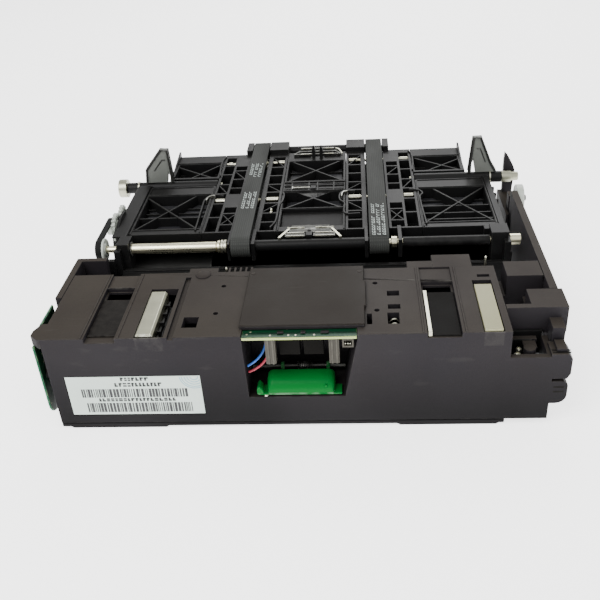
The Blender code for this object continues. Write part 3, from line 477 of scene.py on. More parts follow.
def make_camera():
    """The main view, from the front and above, a little to the right of the object's middle."""
    place = Vector((0.02805, -0.42886, 0.27124))
    yaw, pitch, roll = 0.089, -0.564, -0.069
    forward = Vector((-math.sin(yaw) * math.cos(pitch), math.cos(yaw) * math.cos(pitch), math.sin(pitch)))
    level = Vector((math.cos(yaw), math.sin(yaw), 0.0))
    upright = level.cross(forward)
    right = math.cos(roll) * level + math.sin(roll) * upright
    up = -math.sin(roll) * level + math.cos(roll) * upright
    data = bpy.data.cameras.new("camera")
    data.sensor_fit = "HORIZONTAL"
    data.sensor_width = 36.0
    data.lens = 48.07
    data.clip_start = 0.01
    camera = bpy.data.objects.new("camera", data)
    turn = Matrix((right, up, -forward)).transposed().to_4x4()
    camera.matrix_world = Matrix.Translation(place) @ turn
    bpy.context.scene.collection.objects.link(camera)
    bpy.context.scene.camera = camera


def make_floor():
    """A pale floor that glows a little, so that it reads as a white studio table."""
    mesh = bpy.data.meshes.new("floor")
    reach = 30.0
    corners = [(-reach, -reach, 0), (reach, -reach, 0), (reach, reach, 0), (-reach, reach, 0)]
    mesh.from_pydata(corners, [], [(0, 1, 2, 3)])
    floor = bpy.data.objects.new("floor", mesh)
    bpy.context.scene.collection.objects.link(floor)
    pale = Surface("floor", (0.93, 0.93, 0.92), 0.7, specular=0.2)
    pale.shader.inputs["Emission Color"].default_value = (1.0, 1.0, 1.0, 1.0)
    pale.shader.inputs["Emission Strength"].default_value = 2.2
    pale.paint(pale.span(pale.noise(3.0), 0.4, 0.7), (0.90, 0.90, 0.90), 0.5)
    mesh.materials.append(pale.material)


def make_light():
    """White surroundings and three soft area lights aimed at the object's middle."""
    aim = Vector((0.0, 0.0, 0.03))
    world = bpy.data.worlds.new("studio")
    world.use_nodes = True
    sky = world.node_tree.nodes["Background"].inputs
    sky["Color"].default_value = (1.0, 1.0, 1.0, 1.0)
    sky["Strength"].default_value = 0.85
    bpy.context.scene.world = world
    for name, place, size, energy in (
        ("key", (-0.45, -0.55, 0.85), 0.7, 11.0),
        ("fill", (0.80, -0.50, 0.55), 0.8, 4.0),
        ("rim", (0.10, 0.90, 0.75), 0.7, 7.0),
    ):
        data = bpy.data.lights.new(name, "AREA")
        data.size = size
        data.energy = energy
        light = bpy.data.objects.new(name, data)
        light.location = place
        light.rotation_euler = (aim - Vector(place)).to_track_quat("-Z", "Y").to_euler()
        bpy.context.scene.collection.objects.link(light)


# Finish of the pieces that come from the CAD, with widths in metres


EDGE_WIDTHS = {"housing": 0.00022, "frame_black": 0.00015, "steel": 0.00025, "cream_plastic": 0.0003,
               "grey_plastic": 0.0004, "sheet_metal": 0.00015, "circuit_board": 0.0001,
               "belt_rubber": 0.0001, "timing_rubber": 0.00015, "white_plastic": 0.0002}
BLUNT_NODES = ("center_cover_plate", "left_side_wall", "base_cover")
BLUNT_WIDTH = 0.0005
MERGE_WITHIN = 0.00001
HOUSING_MERGE_WITHIN = 0.0003
# The board posts and connector take cream plastic painted darker, as painted shade.
OWN_SURFACE = {"drive_motor": "shaded_motor_can", "handle_pin": "dark_metal", "board_post_left": "cream_plastic_shaded",
               "board_post_right": "cream_plastic_shaded", "board_connector": "cream_plastic_shaded",
               "drive_shaft": "shaft_steel", "center_cover_plate": "cover_plastic",
               "photo_sensor_block": "dark_glass", "bar_rod_left": "ground_steel",
               "bar_rod_right": "ground_steel"}


def dress_frame():
    """Each CAD node gets its material, and merged corners and rounded edges where its surface has a width."""
    for part in frame["record"]["subparts"]:
        name = part["node"]
        node = frame["nodes"][name]
        surface = part["material_slot"]
        for place in node.material_slots:
            place.material = MATERIALS[OWN_SURFACE.get(name, surface)]
        width = BLUNT_WIDTH if name in BLUNT_NODES else EDGE_WIDTHS.get(surface, 0.0)
        if not width:
            continue
        weld = node.modifiers.new("corners", "WELD")
        weld.merge_threshold = HOUSING_MERGE_WITHIN if surface == "housing" else MERGE_WITHIN
        flat = node.modifiers.new("flats", "DECIMATE")
        flat.decimate_type = "DISSOLVE"
        flat.angle_limit = math.radians(1.0)
        soften(node, width)


# Label and belts


def label_details():
    """Label sheet with generic bars, dashes and rings; they spell nothing."""
    low, high = box("label_plate")
    sheet = low.y + 0.08
    face = (low.y + 0.02, sheet + 0.03)
    width, height = high.x - low.x, high.z - low.z
    stock = block((low.x, high.x), (sheet, high.y), (low.z, high.z))
    piece("label_sheet", [stock], "label_paper", width=0, stands_for=("label_plate",))
    draw = random.Random(7)
    marks = []
    for start, end, top, bottom in ((0.10, 0.90, 0.68, 0.46), (0.12, 0.91, 0.31, 0.06)):
        x = low.x + start * width
        while x < low.x + end * width:
            bar = draw.choice((0.45, 0.8, 1.3))
            marks.append(block((x, x + bar), face, off(low.z, bottom * height, top * height)))
            x += bar + draw.choice((0.3, 0.45, 0.6))
    upright, level, gap = 1, 0.9, 0.5
    rows = ((0.41, 0.60, 0.98, 0.09), (0.36, 0.69, 0.84, 0.10), (0.22, 0.80, 0.435, 0.085))
    for start, end, top, tall in rows:
        x = low.x + start * width
        upper = low.z + top * height
        lower = upper - tall * height
        while x < low.x + end * width:
            dash = draw.uniform(1.2, 2)
            kind = draw.randrange(3)
            if kind != 1:
                marks.append(block((x, x + upright), face, (lower, upper)))
            if kind != 2:
                marks.append(block((x, x + dash), face, (lower, lower + level)))
            if kind:
                marks.append(block((x, x + dash), face, (upper - level, upper)))
            x += dash + gap
    piece("label_print", marks, "label_ink", slot="label_paper", width=0)

    # Rings round a point near the upper right corner, cut off at the label's edges.
    centre = (high.x - 3, high.z - 0.4)
    start = 182
    rings = []
    for radius in (1.8, 3.2, 4.6, 6, 7):
        end = 270 + math.degrees(math.asin(min(1.0, 2.6 / radius)))
        inner, outer = (arc(centre, radius + grown, start, end, 16) for grown in (0.0, 0.4))
        rings.append(prism("Y", [*inner, *outer[::-1]], face))
    piece("label_rings", rings, "label_tint", slot="label_paper", width=0)


def belt_marks():
    """Worn generic dashes printed across the flat belts, in bands."""
    stroke, gap, pitch = 0.5, 0.8, 2.9
    for side, spans in (("left", ((9, 33), (56, 76))), ("right", ((-30, 10),))):
        low, high = box("belt_" + side)
        film = off(high.z, -0.02, 0.03)
        marks = []
        draw = random.Random(3)
        for y, end in spans:
            while y < end:
                tall = draw.uniform(1.6, 2.6)
                for column in range(3):
                    x = low.x + 1.6 + pitch * column
                    if draw.random() < 0.88:
                        marks.append(block((x, x + stroke), (y, y + tall), film))
                        marks.append(block((x, x + 1.9), (y, y + stroke), film))
                    if draw.random() < 0.7:
                        marks.append(block(off(x, 1.2, 1.8), (y + 0.7, y + tall), film))
                y += tall + gap
        piece("belt_marks_" + side, marks, "belt_ink", slot="belt_rubber", width=0)


# Sensor block


def channel_details():
    """Liners of the note channels and the steel and cream bars in them."""
    strip_end = box("channel_strip")[1].x
    glass = block(off(strip_end, 0.3, 13.5), off(FRONT, 0.8, 38.5), off(DECK, -2.5, -1.7))
    piece("channel_glass", [glass], "dark_glass", slot="frame_black")
    piece("channel_liner_left", [
        block((-104.9, -90.4), off(FRONT, 5, 37.8), off(DECK, -2.5, -1.9)),
        block((-104.3, -91), off(FRONT, 38.5, 45.9), (41, 42)),
    ], "channel_liner", slot="housing", width=0.1)

    # Steel bar with worn chamfers, and a step down its right flank.
    low, high = box("steel_sensor_bar")
    outline = [(low.x, low.z), (high.x, low.z), (high.x, high.z - 1.3), (high.x - 1, high.z - 0.1),
               (low.x + 0.7, high.z - 0.1), (low.x, high.z - 0.8)]
    piece("sensor_bar_ground", [
        prism("Y", outline, (low.y + 0.5, high.y)),
        block((low.x + 0.4, high.x - 0.6), off(low.y, 0.0, 1.2), off(high.z, -3, -0.4)),
    ], "ground_steel", slot="steel", stands_for=("steel_sensor_bar",))
    carrier = [block(off(high.x, 0.3, 1.6), (low.y + 1.4, high.y - 2), (48, 52)),
               block(off(high.x, 1.8, 2.8), (low.y + 3, high.y - 6), (48, 50.8))]
    for step in range(4):
        y = low.y + 8 + 7.8 * step
        carrier.append(block(off(high.x, 0.2, 2.4), (y, y + 1), (48, 53.5)))
    piece("sensor_bar_carrier", carrier, "frame_black")

    # Front lip of the cream bar.
    low, high = box("cream_reference_bar")
    lip = block((low.x + 0.2, high.x - 0.2), off(low.y, -0.3, 1.2), off(high.z, -2.2, 0.4))
    piece("cream_bar_lip", [lip], "cream_plastic")


def deck_details():
    """Bump, springs, tabs, pins, ridges and the cover plate's lip on top of the block."""
    dome = [(-0.5, 4.2), (0.4, 4), (1, 3.2), (1.3, 1.8), (1.3, 0.2)]
    bump = turned("Z", (-55.5, BLOCK_BACK - 3), [(DECK + rise, radius) for rise, radius in dome], 28)
    piece("deck_bump", [bump], "housing", width=0)

    # Contact springs in the three small windows on the right.
    springs = []
    for y in (11, 14.8, 22.8, 34.8):
        rises = [DECK - 3.2 + 1.6 * math.sin(math.pi * step / 9) for step in range(10)]
        springs.append(tube([(42 + 0.5 * step, FRONT + y, z) for step, z in enumerate(rises)], 0.45))
    piece("contact_springs", springs, "steel", width=0)

    # Shelf tabs at the deck's back edge, and the pins beside the comb.
    shelf = off(DECK, -3.2, -0.4)
    tabs = [block(x, off(BLOCK_BACK, 0.3, reach), shelf)
            for x, reach in (((52.9, 66.7), 7.5), ((66.4, 87.2), 13.8), ((-64, -48), 5.2))]
    piece("deck_back_tabs", tabs, "housing", width=0.5)
    pins = []
    for x, y, tip in ((94.5, BLOCK_BACK + 4.8, 59), (-43.7, BLOCK_BACK + 2.2, 57.5)):
        rod = [(44, 0.7), (tip - 1, 0.7), (tip - 0.3, 0.5), (tip, 0.2)]
        pins += [turned("Z", (x, y), rod, 14), turned("Z", (x, y), [(43.2, 1.3), (44.6, 1.3), (45, 0.9)], 16)]
    piece("deck_pins", pins, "steel", width=0)

    # Rubbed ridge lines beside the channels and the raised plate.
    ridges = [block(off(x, -0.5, 0.5), (FRONT + 0.4, BLOCK_BACK - 0.6), off(DECK, -0.6, 0.4))
              for x in (-106.8, -88.4, 57.2, 77)]
    piece("deck_ridges", ridges, "housing", width=0.3)
    low, high = box("center_cover_plate")
    lip = [block((low.x + 0.3, 29.7), off(low.y, -0.1, 0.9), off(low.z, -0.8, 0.9))]
    rivet = [(high.z - 0.4, 1.3), (high.z + 0.15, 1.2), (high.z + 0.3, 0.8)]
    lip += [turned("Z", (x, high.y - 6), rivet, 20) for x in (low.x + 2.2, 27.8)]
    piece("cover_plate_lip", lip, "housing")


def side_board_details():
    """The board on the left end: a thin plate with a bright rim, chips, pads and a header."""
    low, high = box("left_side_board")
    lug, step, round_off = FRONT + 14.6, high.z - 3.5, 8
    outline = [(high.y, low.z), (high.y, high.z), (lug, high.z), (lug, step), (low.y, step)]
    outline += arc((low.y + round_off, low.z + round_off), round_off, 180, 270, 5)
    piece("side_board_plate", [prism("X", outline, (low.x + 0.6, high.x))], "circuit_board", width=0.1,
          stands_for=("left_side_board",))
    rim = tube([(low.x + 0.9, y, z) for y, z in [*outline, outline[0]]], 0.45, 6)
    piece("side_board_rim", [rim], "board_rim", slot="circuit_board", width=0)
    outer = off(low.x, 0.1, 0.7)
    flat = off(low.x, 0.3, 0.7)
    chips = [block(outer, off(low.y, y, y + wide), (z, z + tall)) for y, z, wide, tall in (
        (6, 34, 10, 6), (19, 33, 7, 7), (13, 18, 11, 5), (26, 12, 3, 9), (4, 23, 3, 6), (28, 30, 2, 4))]
    piece("side_board_chips", chips, "frame_black", slot="circuit_board", width=0.1)
    pads = []
    for index in range(10):
        y = low.y + 6.6 + 1 * index
        for start, z in ((y, 33.2), (y, 40.2), (y + 7, 17.2)):
            pads.append(block(flat, (start, start + 0.5), (z, z + 0.8)))
    for y, z in ((4, 44), (29.5, 44), (29.5, 8), (12, 8)):
        pads.append(washer("X", (low.y + y, z), flat, 0.6, 1.3, 20))
    piece("side_board_pads", pads, "steel", slot="circuit_board", width=0)
    header = block(outer, off(low.y, 10, 24), (44, 47.5))
    piece("side_board_header", [header], "cream_plastic", width=0.1)


def recess_details():
    """The front board's edge and parts, and the screw, spring, ribs and contacts in the recess."""
    low, high = box("front_sensor_board")
    edge = block((low.x + 0.1, high.x - 0.1), off(low.y, -0.28, 0.2), (low.z + 0.1, high.z - 0.2))
    piece("board_cut_edge", [edge], "board_edge", slot="circuit_board", width=0.1)
    dome = [(-0.1, 0.65), (0.1, 0.6), (0.3, 0.35), (0.4, 0.1)]
    dots = [turned("Z", (x, low.y + 1.6), [(high.z + rise, radius) for rise, radius in dome], 12)
            for x in (-15, -6.3, -2.8, 6)]
    piece("solder_dots", dots, "steel", width=0)
    chips = [block((x, x + wide), off(low.y, 2.2, 4.4), off(high.z, -0.1, 0.7))
             for x, wide in ((-11.8, 3), (-0.5, 2.2), (9, 3.8))]
    piece("board_chips", chips, "frame_black", width=0.1)

    # Screw on the recess floor.
    floor_z = box("release_handle")[0].z - 1
    head = [(floor_z - 0.3, 1.2), (floor_z + 0.3, 1.2), (floor_z + 0.7, 0.8)]
    piece("recess_screw", [turned("Z", (-19.5, FRONT + 1.4), head, 18)], "steel", width=0)

    # Coil spring round the handle's pin, between its two arms.
    turns, per_turn, length = 9, 14, 8
    path = []
    for step in range(turns * per_turn + 1):
        angle = 2 * math.pi * step / per_turn
        y, z = HANDLE_PIN[0] + 2.2 * math.cos(angle), HANDLE_PIN[1] + 2.2 * math.sin(angle)
        path.append((-4.5 + length * step / (turns * per_turn), y, z))
    # The spring is steel, given dark metal as painted shade for the shaded top of the recess.
    piece("handle_spring", [tube(path, 0.3, 6)], "dark_metal", slot="steel", width=0)

    # Posts' ribs and the connector's contacts.
    ribs = []
    for side in ("left", "right"):
        low, high = box("board_post_" + side)
        ribs += [block((x, x + 0.9), off(low.y, -0.5, 0.2), (low.z + 0.2, high.z - 0.1))
                 for x in (low.x + 1.1, high.x - 1.7)]
    # The ribs take the darker cream plastic, as painted shade.
    piece("post_ribs", ribs, "cream_plastic_shaded", slot="cream_plastic", width=0.15)
    low, high = box("board_connector")
    contacts = []
    for index in range(3):
        x = low.x + 1.4 + 1.1 * index
        contacts.append(block((x, x + 0.5), (low.y + 0.2, high.y - 1.2), off(low.z, 1.9, 2.4)))
    piece("connector_contacts", contacts, "steel", width=0.1)


def handle_grip():
    """Glossy green pull: a rounded bar on a wide lip with a curled end, on two arms round the pin."""
    low, high = box("release_handle")
    tall = high.z - low.z
    depth = 10
    rings = []
    for along, rise, fill in ((0.0, 0.0, 0.30), (0.06, 0.35, 0.55), (0.20, 0.62, 0.80), (0.42, 0.86, 0.94),
                              (0.70, 0.97, 1.0), (1.0, 1.0, 1.0)):
        top = low.z + tall * (0.30 + 0.70 * rise) - 0.3
        pull = 1.6 * (1 - fill)
        left, right = low.x + 5 + pull, high.x - 3.5 - pull
        radius = min(3, (top - low.z) * 0.6)
        ring = [(left, low.z), (right, low.z), *arc((right - radius, top - radius), radius, 0, 90, 3),
                *arc((left + radius, top - radius), radius, 90, 180, 3)]
        rings.append([(x, low.y + depth * along - 1.2, z) for x, z in ring])
    # The bar, its wide lip and the lip's curled left end.
    curl = [(0.0, 0.0), (3.4, 0.0), (3, 2.2), (1.4, 4.4), (0.4, 4), (0.0, 2.8)]
    shells = [skin(rings),
              block((low.x + 0.6, high.x), off(low.y, -1.4, 6), off(low.z, -0.4, 0.6)),
              prism("Y", [(low.x + x, low.z + z) for x, z in curl], off(low.y, -1.2, 5))]
    for left in (-13, 10.2):
        arm = (left, left + 1.8)
        shells.append(block(arm, (low.y + depth - 3, HANDLE_PIN[0] - 1.6), off(low.z, 0.8, 3.4)))
        shells.append(washer("X", HANDLE_PIN, arm, 1.7, 2.2))
    piece("release_handle_grip", shells, "green_plastic", "release_handle", width=0.4, segments=3,
          stands_for=("release_handle",))
    knob = [(low.y - 1, 0.6), (low.y + 1.8, 0.8), (low.y + 1.8, 0.2)]
    boss = turned("Y", (high.x - 7.8, low.z + 4.5), knob, 14)
    piece("grip_boss", [boss], "green_plastic", "release_handle", width=0)


def bracket_details():
    """Screws in the hole under the upper bracket, the post beside them and the tabs' slits."""
    spots = [(x, FRONT + y) for x, y in ((103.6, 9.8), (102.4, 5.8))]
    piece("bracket_screws", [screw_head("Z", spot, 38.5, 1.0, 1.6) for spot in spots], "steel", width=0)
    plate = [block((99, 110.5), off(FRONT, 14.2, 14.9), (30, 41.2)),
             block((99.4, 116), off(FRONT, 18.3, 19.6), (30, 43.6))]
    plate += [turned("Z", spot, [(30, 2), (38.4, 1.8)], 20) for spot in spots]
    piece("bracket_back_plate", plate, "frame_black")
    post = [(30, 3), (41.8, 3), (42.3, 2.6), (42.3, 0.4)]
    piece("bracket_post", [
        turned("Z", (108, FRONT + 6.6), post, 24),
        block((105.6, 112), off(FRONT, 8, 14), (39.5, 41.1)),
        block((119.6, 124.6), off(FRONT, 2, 10), (42.4, 44.2)),
    ], "housing", width=0.4)
    slits = [block((119.6, 124.6), off(FRONT, -0.02, 0.6), (z, z + 1)) for z in (22.6, 19.8)]
    slits += [block((117.6, 126.2), off(FRONT, y, y + 0.9), (42.4, 42.62)) for y in (1.2, 3)]
    piece("tab_slits", slits, "dark_glass", slot="frame_black", width=0)


# Transport


FENCES = {
    "fence_left": [(-57.5, 35), (-62.5, 35.8), (-66.8, 34), (-68.6, 30), (-69, 23.5), (-68.3, -12)],
    "fence_inner_left": [(-20, 36), (-18.6, 33), (-19, 24), (-20.7, 18), (-21.2, -2), (-24, -11.5)],
    "fence_inner_right": [(26, 36), (20.5, 36.2), (17.6, 34.5), (16.4, 30),
                          (16.8, 23.5), (19.6, 18.5), (20, 5), (29, 4)],
    "fence_right": [(60, 35.8), (64.5, 35), (67.2, 32.5), (67.8, 29), (66, 25), (66, 15), (67.2, -12)],
    "fence_rear_left": [(-64, 98.5), (-65.5, 93), (-65.5, 80), (-64, 66)],
    "fence_rear_right": [(63.2, 98.5), (65, 94), (65.2, 78), (64, 66)],
}
HOOKS = ([(-62.8, 34), (-65.2, 33.6), (-67, 31), (-67.6, 27.2)],
         [(21.4, 34.8), (19.4, 34.2), (18, 31.5), (17.8, 27.5)])
LEFT_TRAY, RIGHT_TRAY, CENTER_TRAY = (-107, -65.5), (65.5, 107), (-19, 19)
BRACES = (((47.2, -3.8), (54.6, 9.4)), ((54.6, -3.8), (47.2, 9.4)),
          ((47.2, 62.5), (54.6, 74.5)), ((56.2, 40.5), (62.7, 52.5)),
          ((21.9, 41), (30.2, 50.5)), ((30.2, 12.5), (21.9, 22.5)), ((21.9, 80.5), (30.2, 96.5)))


def tray_details():
    """Curved walls, lips and braces on the trays and ladder frames, and the pans' liners."""
    for name, path in FENCES.items():
        piece(name, [fence(smooth_path(path), off(TRAY_TOP, -1.5, 1.1), 1)], "frame_black")
    braces = [fence([(sign * x, y) for x, y in ends], off(TRAY_TOP, -5, -0.3), 0.8)
              for sign in (-1, 1) for ends in BRACES]
    piece("ladder_braces", braces, "frame_black", width=0.15)
    lip = off(TRAY_TOP, -0.3, 0.5)
    lips = [block(x, (y, y + 0.9), lip) for x, y in (
        (LEFT_TRAY, 38.6), (RIGHT_TRAY, 38.6), (CENTER_TRAY, 38.6), (LEFT_TRAY, -10),
        (RIGHT_TRAY, -10), (CENTER_TRAY, 13.6), ((-97, -65.5), 90), ((65.5, 97), 90),
        (CENTER_TRAY, 53.5), (LEFT_TRAY, 50), (RIGHT_TRAY, 50))]
    lips += [block((x, x + 0.8), (-14, 50), lip) for x in (-107.5, -66, 65.2, 106.7, -19.7, 19)]
    piece("tray_lips", lips, "frame_black", width=0.15)

    # Thin liners on the pans' floors.
    floor = box("tray_front_left")[0].z
    liners = []
    for side in ("left", "center", "right"):
        for row, depth in (("front", (-8, 37.5)), ("rear", (67, 88.5))):
            low, high = box("tray_" + row + "_" + side)
            liners.append(block((low.x + 2.6, high.x - 2.6), depth, off(floor, 2.1, 2.9)))
    piece("pan_liners", liners, "pan_black", slot="frame_black", width=0.1)


def band_details():
    """Rails, cross bars, a sloped web and a clip on the band between the centre trays, and the pans' ribs."""
    band = [block((-19.5, 19.5), (y, y + 0.9), off(TRAY_TOP, -0.4, rise)) for y, rise in (
        (38.8, 0.8), (41.8, 0.4), (46.2, 0.8), (49.2, 0.4), (51.6, 0.9))]
    band += [block((x, x + 1), (38.8, 52), off(TRAY_TOP, -0.4, 0.6)) for x in (-15, -4, 1.6, 12)]
    web = [(-9.2, 48.8), (13, 53), (13, 54), (-9.2, 49.8)]
    band += [block((-2, 1.2), (40, 44), off(TRAY_TOP, -0.2, 1.6)), prism("X", web, (-18.4, 18.4))]
    piece("center_band", band, "frame_black", width=0.15)
    piece("center_clip", [
        block((-13.8, -2.6), (42.8, 44), off(TRAY_TOP, 0.2, 1)),
        block((-14.2, -13.4), (41.6, 44.6), off(TRAY_TOP, 0.2, 1.2)),
    ], "sheet_metal", width=0.1)

    # Low ribs across the pans' floors.
    floor = box("tray_front_left")[0].z
    ribs = []
    for x, rows in (((-106, -67), (-4, 1.5, 22.5, 29)), ((66.8, 106), (21.5, 30)),
                    ((-18, 18), (-4, 2, 8, 62, 80)), ((-95, -67), (72, 82)), ((66.8, 95), (72, 82))):
        ribs += [block(x, (y, y + 0.9), off(floor, 1.8, 4.4)) for y in rows]
    piece("pan_ribs", ribs, "frame_black", width=0.15)


def pin_details():
    """Bright collars where the idler pins show."""
    for row, spans in (("front", ((-62.6, -56.3), (-30, -22.2), (22.2, 29.8), (56.3, 62.6))),
                       ("rear", ((-61.2, -58.5), (-26.5, -22.1), (22.1, 28), (57, 62.4)))):
        for left, right in spans:
            side = "left" if left < 0 else "right"
            place = "outer" if abs(left + right) / 2 > 45 else "inner"
            idler = "idler_" + row + "_" + side
            y, z = PIVOTS[idler]
            profile = [(left, 0.9), (left, 1.3), (left + 0.3, 1.55), (right - 0.3, 1.55),
                       (right, 1.3), (right, 0.9), (left, 0.9)]
            piece("pin_collar_" + row + "_" + side + "_" + place, [turned("X", (y, z), profile, 20)], "steel",
                  idler, width=0)


def silver_clips():
    """Small bright hook clips by the front idler pins, and the pin between the belt and the centre."""
    hooks = [fence(smooth_path(path), off(TRAY_TOP, -1, 1.6), 0.7) for path in HOOKS]
    piece("hook_clips", hooks, "sheet_metal", width=0)
    pin = [(TRAY_TOP - 6, 0.7), (TRAY_TOP + 1.2, 0.7), (TRAY_TOP + 1.6, 0.4)]
    piece("latch_pin", [
        turned("Z", (-25, 12), pin, 14),
        block((-25.6, -24.5), (9, 12.6), off(TRAY_TOP, -2, 0.6)),
    ], "steel", width=0)


def front_bracket_details():
    """The bent spring plate at the front of the transport's middle, its bright edges and its catch."""
    low, high = box("front_center_bracket")
    z = high.z
    edges = []
    for x, lean, side in ((low.x, 5.2, 1.5), (high.x, -5.2, -1.5)):
        foot, tip = low.y, high.y - 5
        leg = [(x, foot), (x + side, foot), (x + lean + side, tip), (x + lean, tip)]
        edges.append(prism("Z", leg, off(z, -1.3, -0.1)))
    for x in ((low.x + 4.8, -3.4), (3, high.x - 4.8)):
        edges += [block(x, (y, y + 0.4), off(z, -1, 0.1)) for y in (low.y + 1.4, low.y + 5.2, high.y - 4.2)]
    piece("front_plate_edges", edges, "steel", slot="sheet_metal", width=0.1)
    piece("front_spring_plate", [
        block((low.x + 4.5, high.x - 4.5), off(high.y, -6.4, -4), off(z, -1.2, -0.5)),
        block((low.x + 4, -2.6), off(low.y, 1.6, 5), off(z, -1, -0.3)),
        block((2, high.x - 4), off(low.y, 1.6, 5), off(z, -1, -0.3)),
        block((low.x + 6, high.x - 6), off(low.y, 5.8, 8.6), off(z, -0.7, 0.0)),
        block((-11, 11), off(high.y, -5, -0.2), off(low.z, 0.1, 1)),
    ], "dark_metal", slot="sheet_metal", stands_for=("front_center_bracket",))
    button = [(z - 1.2, 1.1), (z + 0.3, 1.1), (z + 0.6, 0.6)]
    piece("front_plate_catch", [
        block((-2.2, 1.4), off(low.y, 1.2, 5.6), off(z, -1.6, 0.4)),
        turned("Z", (-0.4, low.y + 7.4), button, 18),
    ], "frame_black")


def rear_bracket_details():
    """The stepped spring plate at the back of the transport's middle, and its bright edges."""
    z = box("rear_center_bracket")[0].z
    plate = [block((-16, -4), (96, 97.4), (z, z + 1.6)),
             block((5, 16.5), (96, 97.4), (z, z + 1.6)),
             block((-12.5, 13.1), (97.8, 99.6), (z, z + 0.9)),
             block((-12.5, 13.1), (100.4, 102.4), (z, z + 1.8)),
             block((-11.5, 12.1), (103.4, 106), off(z, 0.4, 2.6))]
    for x, tip in ((-12.5, -15.9), (13.1, 16.5)):
        plate.append(prism("Z", [(x, 104), (tip, 99), (tip, 97), (x, 101)], (z, z + 1.2)))
    piece("rear_spring_plate", plate, "dark_metal", slot="sheet_metal", stands_for=("rear_center_bracket",))
    edges = []
    for x in ((-11.2, -3.8), (5.2, 11.8)):
        edges.append(block(x, (103.4, 103.9), off(z, 2, 2.8)))
        edges.append(block(x, (96, 96.4), off(z, 1, 1.8)))
    hook = ((13.1, 104.6, 2.2), (15, 103, 2), (16.6, 100.5, 1.4), (17.6, 97.5, 0.6))
    edges.append(tube([(x, y, z + rise) for x, y, rise in hook], 0.5))
    piece("rear_plate_edges", edges, "steel", slot="sheet_metal", width=0)


def shaft_details():
    """Retaining clips, the split bush, the filler wall on the left and the right boss's cap."""
    clips = [washer("X", SHAFT, (x, x + 0.5), 3, outer) for x, outer in ((-103.4, 4.1), (44.4, 3.6))]
    piece("shaft_clips", clips, "dark_metal", "drive_shaft", slot="steel", width=0)
    wall = (-119.2, -PLATE_OUTER - 0.2)
    piece("left_filler_wall", [
        block(wall, (-37.5, -34.5), (6, 51.5)),
        block(wall, (-34.5, -15), (6, 40)),
    ], "frame_black", width=0.3)
    low, high = box("shaft_bearing")
    radius, bore, trim = (high.z - low.z) / 2, 2.4, 0.2
    halves = []
    for x in (low.x + 0.1, (low.x + high.x) / 2 + 0.2):
        end = x + 1.4
        profile = [(x, bore), (x, radius - trim), (x + trim, radius), (end - trim, radius),
                   (end, radius - trim), (end, bore), (x, bore)]
        halves.append(turned("X", SHAFT, profile))
    halves.append(washer("X", SHAFT, (low.x + 1, high.x - 1), bore, radius - 0.7, 32))
    piece("shaft_bearing_rings", halves, "steel", slot="sheet_metal", width=0, stands_for=("shaft_bearing",))
    piece("right_boss_cap", [
        block((101, PLATE_OUTER - 0.6), off(SHAFT[0], -5.2, 6.2), (59.6, 60.6)),
        block((98.5, 101.8), off(SHAFT[0], 4.6, 8.8), (47, 58)),
    ], "frame_black", width=0.3)


FINS = {
    "left": [(-111.7, 58), (-110.7, 66.8), (-99.8, 80), (-95.5, 80), (-94.3, 58)],
    "right": [(99.6, 58), (101.8, 81), (106.1, 81), (112.9, 64), (116.4, 58)],
}


def side_bar_details():
    """Clips on the side bars' tubes, and rims and a raised line on the grey fins."""
    for side, x in (("left", -118), ("right", 112.8)):
        low, high = box("bar_tube_" + side)
        radius = (high.z - low.z) / 2
        axis = ((low.y + high.y) / 2, SHAFT[1])
        clip = (x, x + 0.8)
        shells = [washer("X", axis, clip, radius - 0.1, radius + 0.5, 32)]
        for turn in (0.35, 1.75, 3.5):
            knot = (axis[0] + (radius + 0.7) * math.cos(turn), axis[1] + (radius + 0.7) * math.sin(turn))
            shells.append(turned("X", knot, [(clip[0], 0.7), (clip[1], 0.7)], 12))
        piece("bar_clip_" + side, shells, "steel", "side_bar_" + side, width=0)
    for side, outline in FINS.items():
        low, high = box("guide_fin_" + side)
        faces = (low.y - 0.1, high.y + 0.1)
        rims = [tube([(x, y, z) for x, z in outline], 0.8) for y in faces]
        inner = [(x * 0.55 + outline[2][0] * 0.45, z * 0.55 + 65 * 0.45) for x, z in outline[1:4]]
        rims.append(tube([(x, faces[0], z) for x, z in inner], 0.4))
        piece("fin_rim_" + side, rims, "fin_rim", "side_bar_" + side, slot="grey_plastic", width=0)


# Timing drive


def toothed(centre, teeth, module, x, hub, turn=0.0):
    """The shells of a moulded spur gear: a rim of rounded teeth, a thinner web and a hub."""
    pitch = module * teeth / 2
    flank = ((-0.36, -1.1), (-0.27, -0.5), (-0.17, 0.45), (-0.09, 0.75),
             (0.09, 0.75), (0.17, 0.45), (0.27, -0.5), (0.36, -1.1))
    rim = []
    for tooth in range(teeth):
        for offset, rise in flank:
            angle = 2 * math.pi * (tooth + turn + offset) / teeth
            radius = pitch + rise * module
            rim.append((centre[0] + radius * math.cos(angle), centre[1] + radius * math.sin(angle)))
    start = 360 * (turn / teeth - 3.0 / len(rim))
    inner = arc(centre, pitch - 2.0 * module, start, start + 360, len(rim))[:-1]
    rings = [[(level, *point) for point in points]
             for level, points in ((x[0], inner), (x[0], rim), (x[1], rim), (x[1], inner))]
    return [skin(rings, capped=False),
            washer("X", centre, (x[0] + 0.6, x[1] - 0.6), 1, pitch - 1.9 * module, 36),
            washer("X", centre, hub[:2], 0.9, hub[2])]


